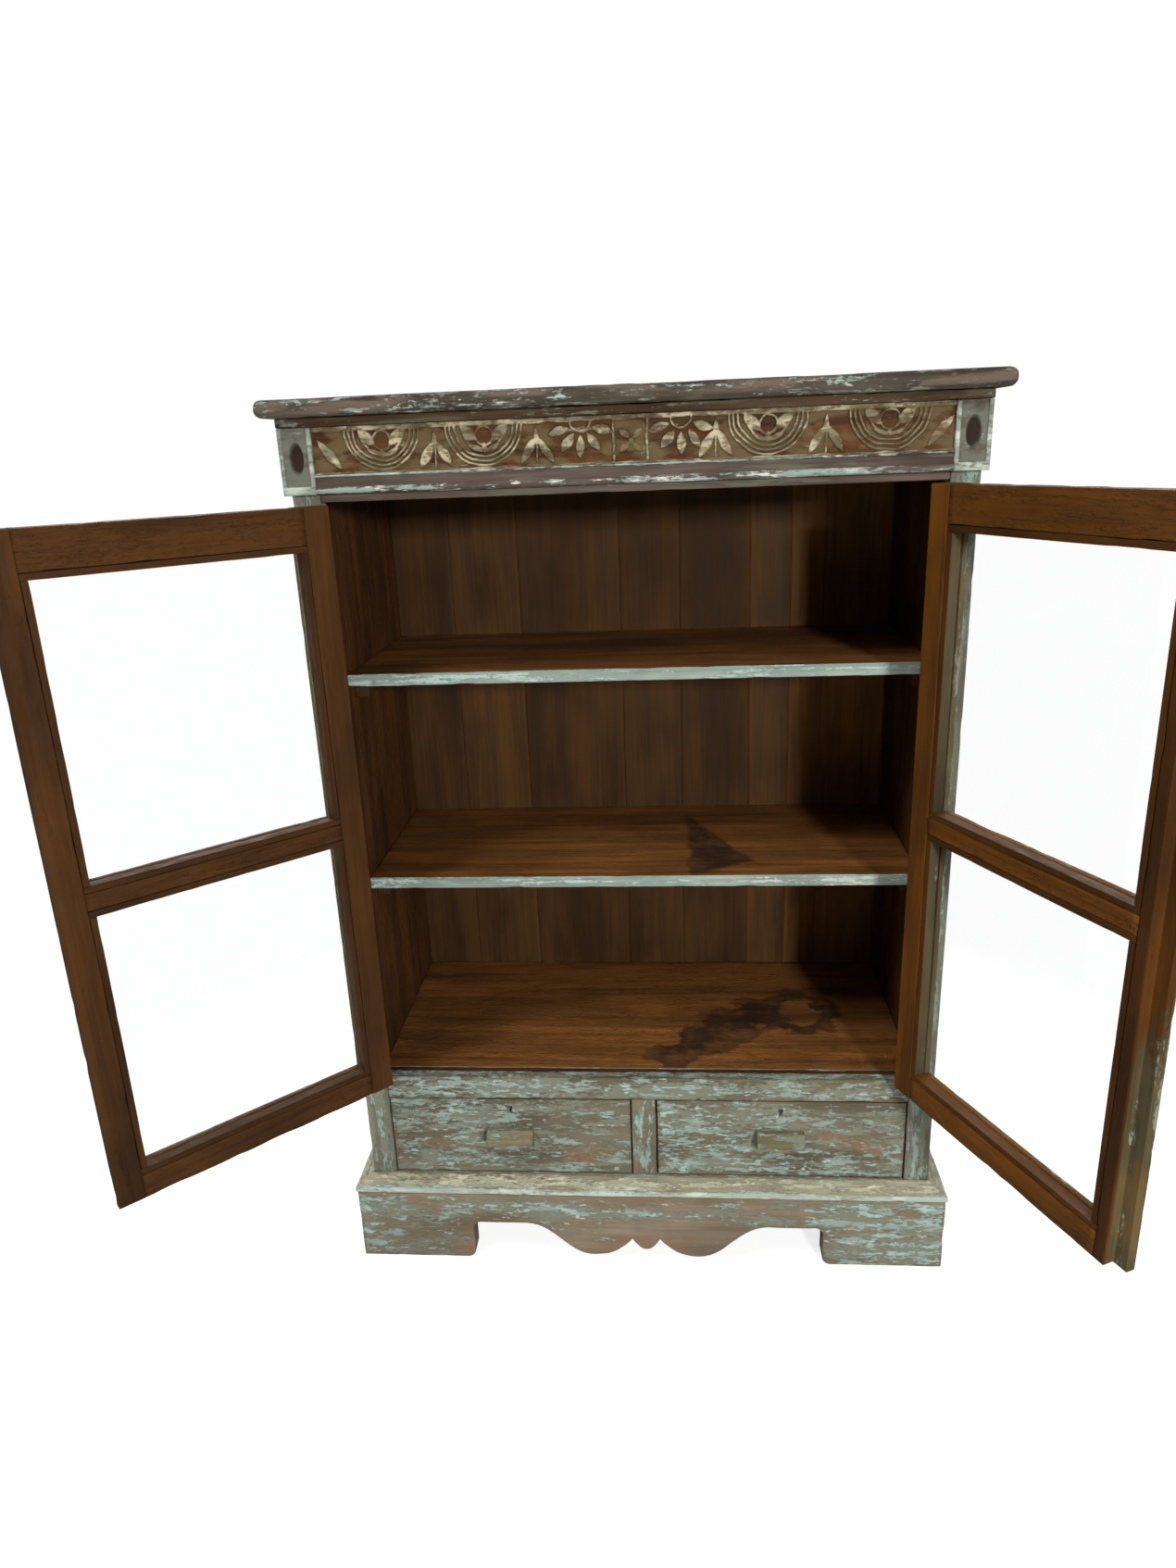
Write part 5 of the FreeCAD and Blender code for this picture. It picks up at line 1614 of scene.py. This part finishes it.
def door_stile(side, node, rebate, lip, lapped, seed):
    """A stile with the glass rebate on its sight edge and, where lapped, half its thickness cut away."""
    pivot, along, through = leaf_axes(side)
    low, high = leaf_box(side, node)
    (_, v0, z0), (u1, v1, z1) = low, high
    step = u1 - LAP_WIDTH
    inner_bare = rising(DEPTH, *(v1 + end for end in INNER_PAINT_ENDS))

    def bare(across, depth, length):
        inner = inner_bare(across, depth, length)
        if not lapped or side == "left":
            return inner
        lap = ramp(across, step - LAP_BLUR, step) * ramp(depth, *(v0 + end for end in LAP_FACE_ENDS))
        return np.maximum(inner, lap * ramp(length, *(z0 + end for end in LAP_WORN)))

    outline = rounded_outline(stile_corners(side, low, high, rebate, lip, lapped), FRAME_EDGE)
    stations = rounded_stations(z0, z1, FRAME_EDGE)
    hold = rising(DEPTH, *(v0 + end for end in FACE_ENDS), *STILE_HOLDS)
    return carried_board(outline, stations, np.stack([along, through, UP]), pivot, seed, bare=bare,
                         tone=leaf_tone(side, node, v0, bare), hold=hold)


print("stiles ready")

# %% [markdown]
# ## Rails
# A rail lies between the stiles.  The stiles' rebate runs through, and the rail's inner part reaches over
# it, as in a real frame: there the outline is pressed back to the rebate's floor and in to the rail's own
# rebates.

# %% Rails
STEP_WIDTH = 0.0001
RAIL_STATIONS = 28
RAIL_FACE_ENDS = (0.002, 0.006)

# The stations that lie over the stiles' rebates
OVER_REBATE = [0, 1, -2, -1]


def door_rail(side, node, sight, rebate, lip, below, above, seed):
    """A rail with rebates below or above it, between the sight edges of the stiles."""
    pivot, along, through = leaf_axes(side)
    (_, v0, z0), (_, v1, z1) = leaf_box(side, node)
    corners = [(z0, v0), (z1, v0)]
    corners += [(z1, lip), (z1 - rebate, lip), (z1 - rebate, v1)] if above else [(z1, v1)]
    corners += [(z0 + rebate, v1), (z0 + rebate, lip), (z0, lip)] if below else [(z0, v1)]
    places = np.concatenate([[sight[0] - rebate, sight[0] - STEP_WIDTH], np.linspace(*sight, RAIL_STATIONS),
                             [sight[1] + STEP_WIDTH, sight[1] + rebate]])

    def over_rebates(local):
        ends = local[OVER_REBATE]
        ends[..., ACROSS] = np.clip(ends[..., ACROSS], z0 + rebate * below, z1 - rebate * above)
        ends[..., DEPTH] = np.maximum(ends[..., DEPTH], lip)
        local[OVER_REBATE] = ends
        return local

    bare = rising(DEPTH, *(v0 + end for end in RAIL_FACE_ENDS))
    outline = rounded_outline(corners, FRAME_EDGE)
    return carried_board(outline, (places, 0 * places), np.stack([UP, through, along]), pivot, seed,
                         over_rebates, bare=bare, tone=leaf_tone(side, node, v0, bare))


print("rails ready")

# %% [markdown]
# ## Glazing bars
# Four thin bars around each pane hold the glass in its rebate.  Two lie flat, and two stand between them.
# On the right door the standing bars kept a little paint towards the glass.

# %% Glazing bars
BAR_EDGE = 0.0007
BAR_END = 0.0004
# Bars are darker than the frames round them: painted shade of the rebate.  The right door's are lighter, painted
# light as for its frame
BAR_TONES_WITH_PAINTED_SHADE = {"left": 0.53, "right": 0.65}
BAR_FACE_ENDS = (-0.002, -0.0005)
BAR_HOLD = -0.5


def glazing_bars(side, sight, panes, rebate, seed):
    """Bars around each pane, inside the rebate."""
    pivot, along, through = leaf_axes(side)
    (_, v0, _), (_, v1, _) = leaf_box(side, "glazing_beads")
    lying = np.stack([UP, through, along])
    standing = np.stack([along, through, UP])
    upright_bare = rising(DEPTH, *(v1 + end for end in BAR_FACE_ENDS)) if side == "right" else 1.0
    ends = (sight[0] - rebate, sight[1] + rebate)
    bars = []
    for pane, (z0, z1) in enumerate(panes):
        rows = ((z0 - rebate, z0, *ends, lying, 1.0), (z1, z1 + rebate, *ends, lying, 1.0),
                (ends[0], sight[0], z0, z1, standing, upright_bare),
                (sight[1], ends[1], z0, z1, standing, upright_bare))
        for number, (narrow_low, narrow_high, start, end, axes, bare) in enumerate(rows):
            corners = [(narrow_low, v0), (narrow_high, v0), (narrow_high, v1), (narrow_low, v1)]
            outline = rounded_outline(corners, BAR_EDGE)
            stations = rounded_stations(start, end, BAR_END)
            bar_seed = seed + len(rows) * pane + number
            bars.append(carried_board(outline, stations, axes, pivot, bar_seed, bare=bare,
                                      tone=BAR_TONES_WITH_PAINTED_SHADE[side], hold=BAR_HOLD))
    return bars


print("glazing bars ready")

# %% [markdown]
# ## The doors put together
# The rebate's width and floor follow from the glazing beads and the panes.  All pieces of a door share
# one finish; what each carries tells it where paint ends and brown wood begins.

# %% The doors put together
DOOR_SEEDS = {"left": 120, "right": 150}

# Whether a rail has a rebate below and above it
RAIL_REBATES = {"bottom_rail": (False, True), "middle_rail": (True, True), "top_rail": (True, False)}

for side, first_seed in DOOR_SEEDS.items():
    seeds = itertools.count(first_seed)
    sight = (leaf_box(side, "hinge_stile")[1][0], leaf_box(side, "meeting_stile")[0][0])
    rebate = sight[0] - leaf_box(side, "glazing_beads")[0][0]
    lip = leaf_box(side, "glass_panes")[0][1]
    levels = [leaf_box(side, node) for node in RAIL_REBATES]
    panes = [(lower[1][2], upper[0][2]) for lower, upper in zip(levels, levels[1:])]
    pieces = {"hinge_stile": [door_stile(side, "hinge_stile", rebate, lip, False, next(seeds))],
              "meeting_stile": [door_stile(side, "meeting_stile", rebate, lip, True, next(seeds))]}
    for node, (below, above) in RAIL_REBATES.items():
        pieces[node] = [door_rail(side, node, sight, rebate, lip, below, above, next(seeds))]
    pieces["glazing_beads"] = glazing_bars(side, sight, panes, rebate, next(seeds))
    for node, surfaces in pieces.items():
        add_piece("worn_" + side + "_" + node, surfaces, door_finishes[side], side + "_door",
                  side + "_door_" + node)
    print(side, "door: rebate", round(float(rebate), 4), "pieces", len(pieces))

# %% [markdown]
# ## Metal and inner boards
# These pieces keep their CAD shape.  Iron is dark and rough with rust, the knobs are dull brass.  Boards
# that only show when a drawer is pulled out are plain wood, with the grain along their longest side.

# %% Metal and inner boards
PLAIN_BROWNS = (tint(98, 66, 38), tint(146, 104, 64))
PLAIN_RELIEF = 0.0004
PLAIN_ROUGHNESS = 0.7
TARNISH = ((180.0, 180.0), 2.0)
TARNISH_RANGE = (0.4, 0.62)
METAL_RANGE = (0.35, 0.65)
METAL_RELIEF = 0.0003
METAL_SHINE = 0.5


def plain_wood(name, order):
    """Bare softwood; the place's axes are reordered, so that the first one runs along the grain."""
    finish = Finish(name)
    parts = finish.node("ShaderNodeSeparateXYZ", {0: finish.place()}).outputs
    reordered = {number: parts[axis] for number, axis in enumerate(order)}
    along = finish.node("ShaderNodeCombineXYZ", reordered).outputs[0]
    colour, figure = grain_colour(finish, along, *PLAIN_BROWNS)
    finish.colour(colour)
    finish.bump(figure, PLAIN_RELIEF)
    finish.gloss(PLAIN_ROUGHNESS)
    return finish.material


def old_metal(name, dark, light, metallic, roughness):
    """Metal with cloudy tarnish."""
    finish = Finish(name)
    cloud = finish.noise(finish.place(), *TARNISH, **CLOUDY)
    finish.colour(finish.mix(finish.step(cloud, *TARNISH_RANGE), dark, light))
    finish.shader.inputs["Metallic"].default_value = metallic
    finish.gloss(finish.step(cloud, *METAL_RANGE, *roughness), METAL_SHINE)
    finish.bump(cloud, METAL_RELIEF)
    return finish.material


wood_by_direction = {X: plain_wood("plain_wood_x", (X, Y, Z)), Y: plain_wood("plain_wood_y", (Y, X, Z)),
                     Z: plain_wood("plain_wood_z", (Z, X, Y))}
iron = old_metal("old_iron", tint(48, 40, 36), tint(84, 62, 48), metallic=0.6, roughness=(0.55, 0.8))
brass = old_metal("old_brass", tint(110, 84, 44), tint(168, 132, 72), metallic=0.9, roughness=(0.32, 0.55))
print("finishes so far:", len(bpy.data.materials))

# %% [markdown]
# ## Glass, and dressing the CAD pieces
# The glass lets light through and bends it a little.  Its shadow is left out, because clear panes hardly
# dim the light.  The record of the construction says which material each node has.

# %% Dressing the CAD pieces
GLASS_TINT = (0.99, 1.0, 0.995, 1)
GLASS_BENDING = 1.2
GRAIN_DIRECTIONS = {"drawer_guides": Y, "drawer_partition": Y, "left_drawer_sides": Y,
                    "right_drawer_sides": Y, "plinth_corner_blocks": Z}

glass = Finish("old_glass")
glass.colour(GLASS_TINT)
glass.shader.inputs["Transmission Weight"].default_value = 1.0
glass.shader.inputs["Roughness"].default_value = 0.0
glass.shader.inputs["IOR"].default_value = GLASS_BENDING
slots = {row["node"]: row["material_slot"] for row in frame["record"]["subparts"]}
by_slot = {"glass": glass.material, "iron": iron, "brass": brass}
for node, piece in frame["nodes"].items():
    piece.visible_shadow = slots[node] != "glass"
    piece.data.materials.clear()
    piece.data.materials.append(by_slot.get(slots[node], wood_by_direction[GRAIN_DIRECTIONS.get(node, X)]))
print("CAD pieces dressed:", len(frame["nodes"]))
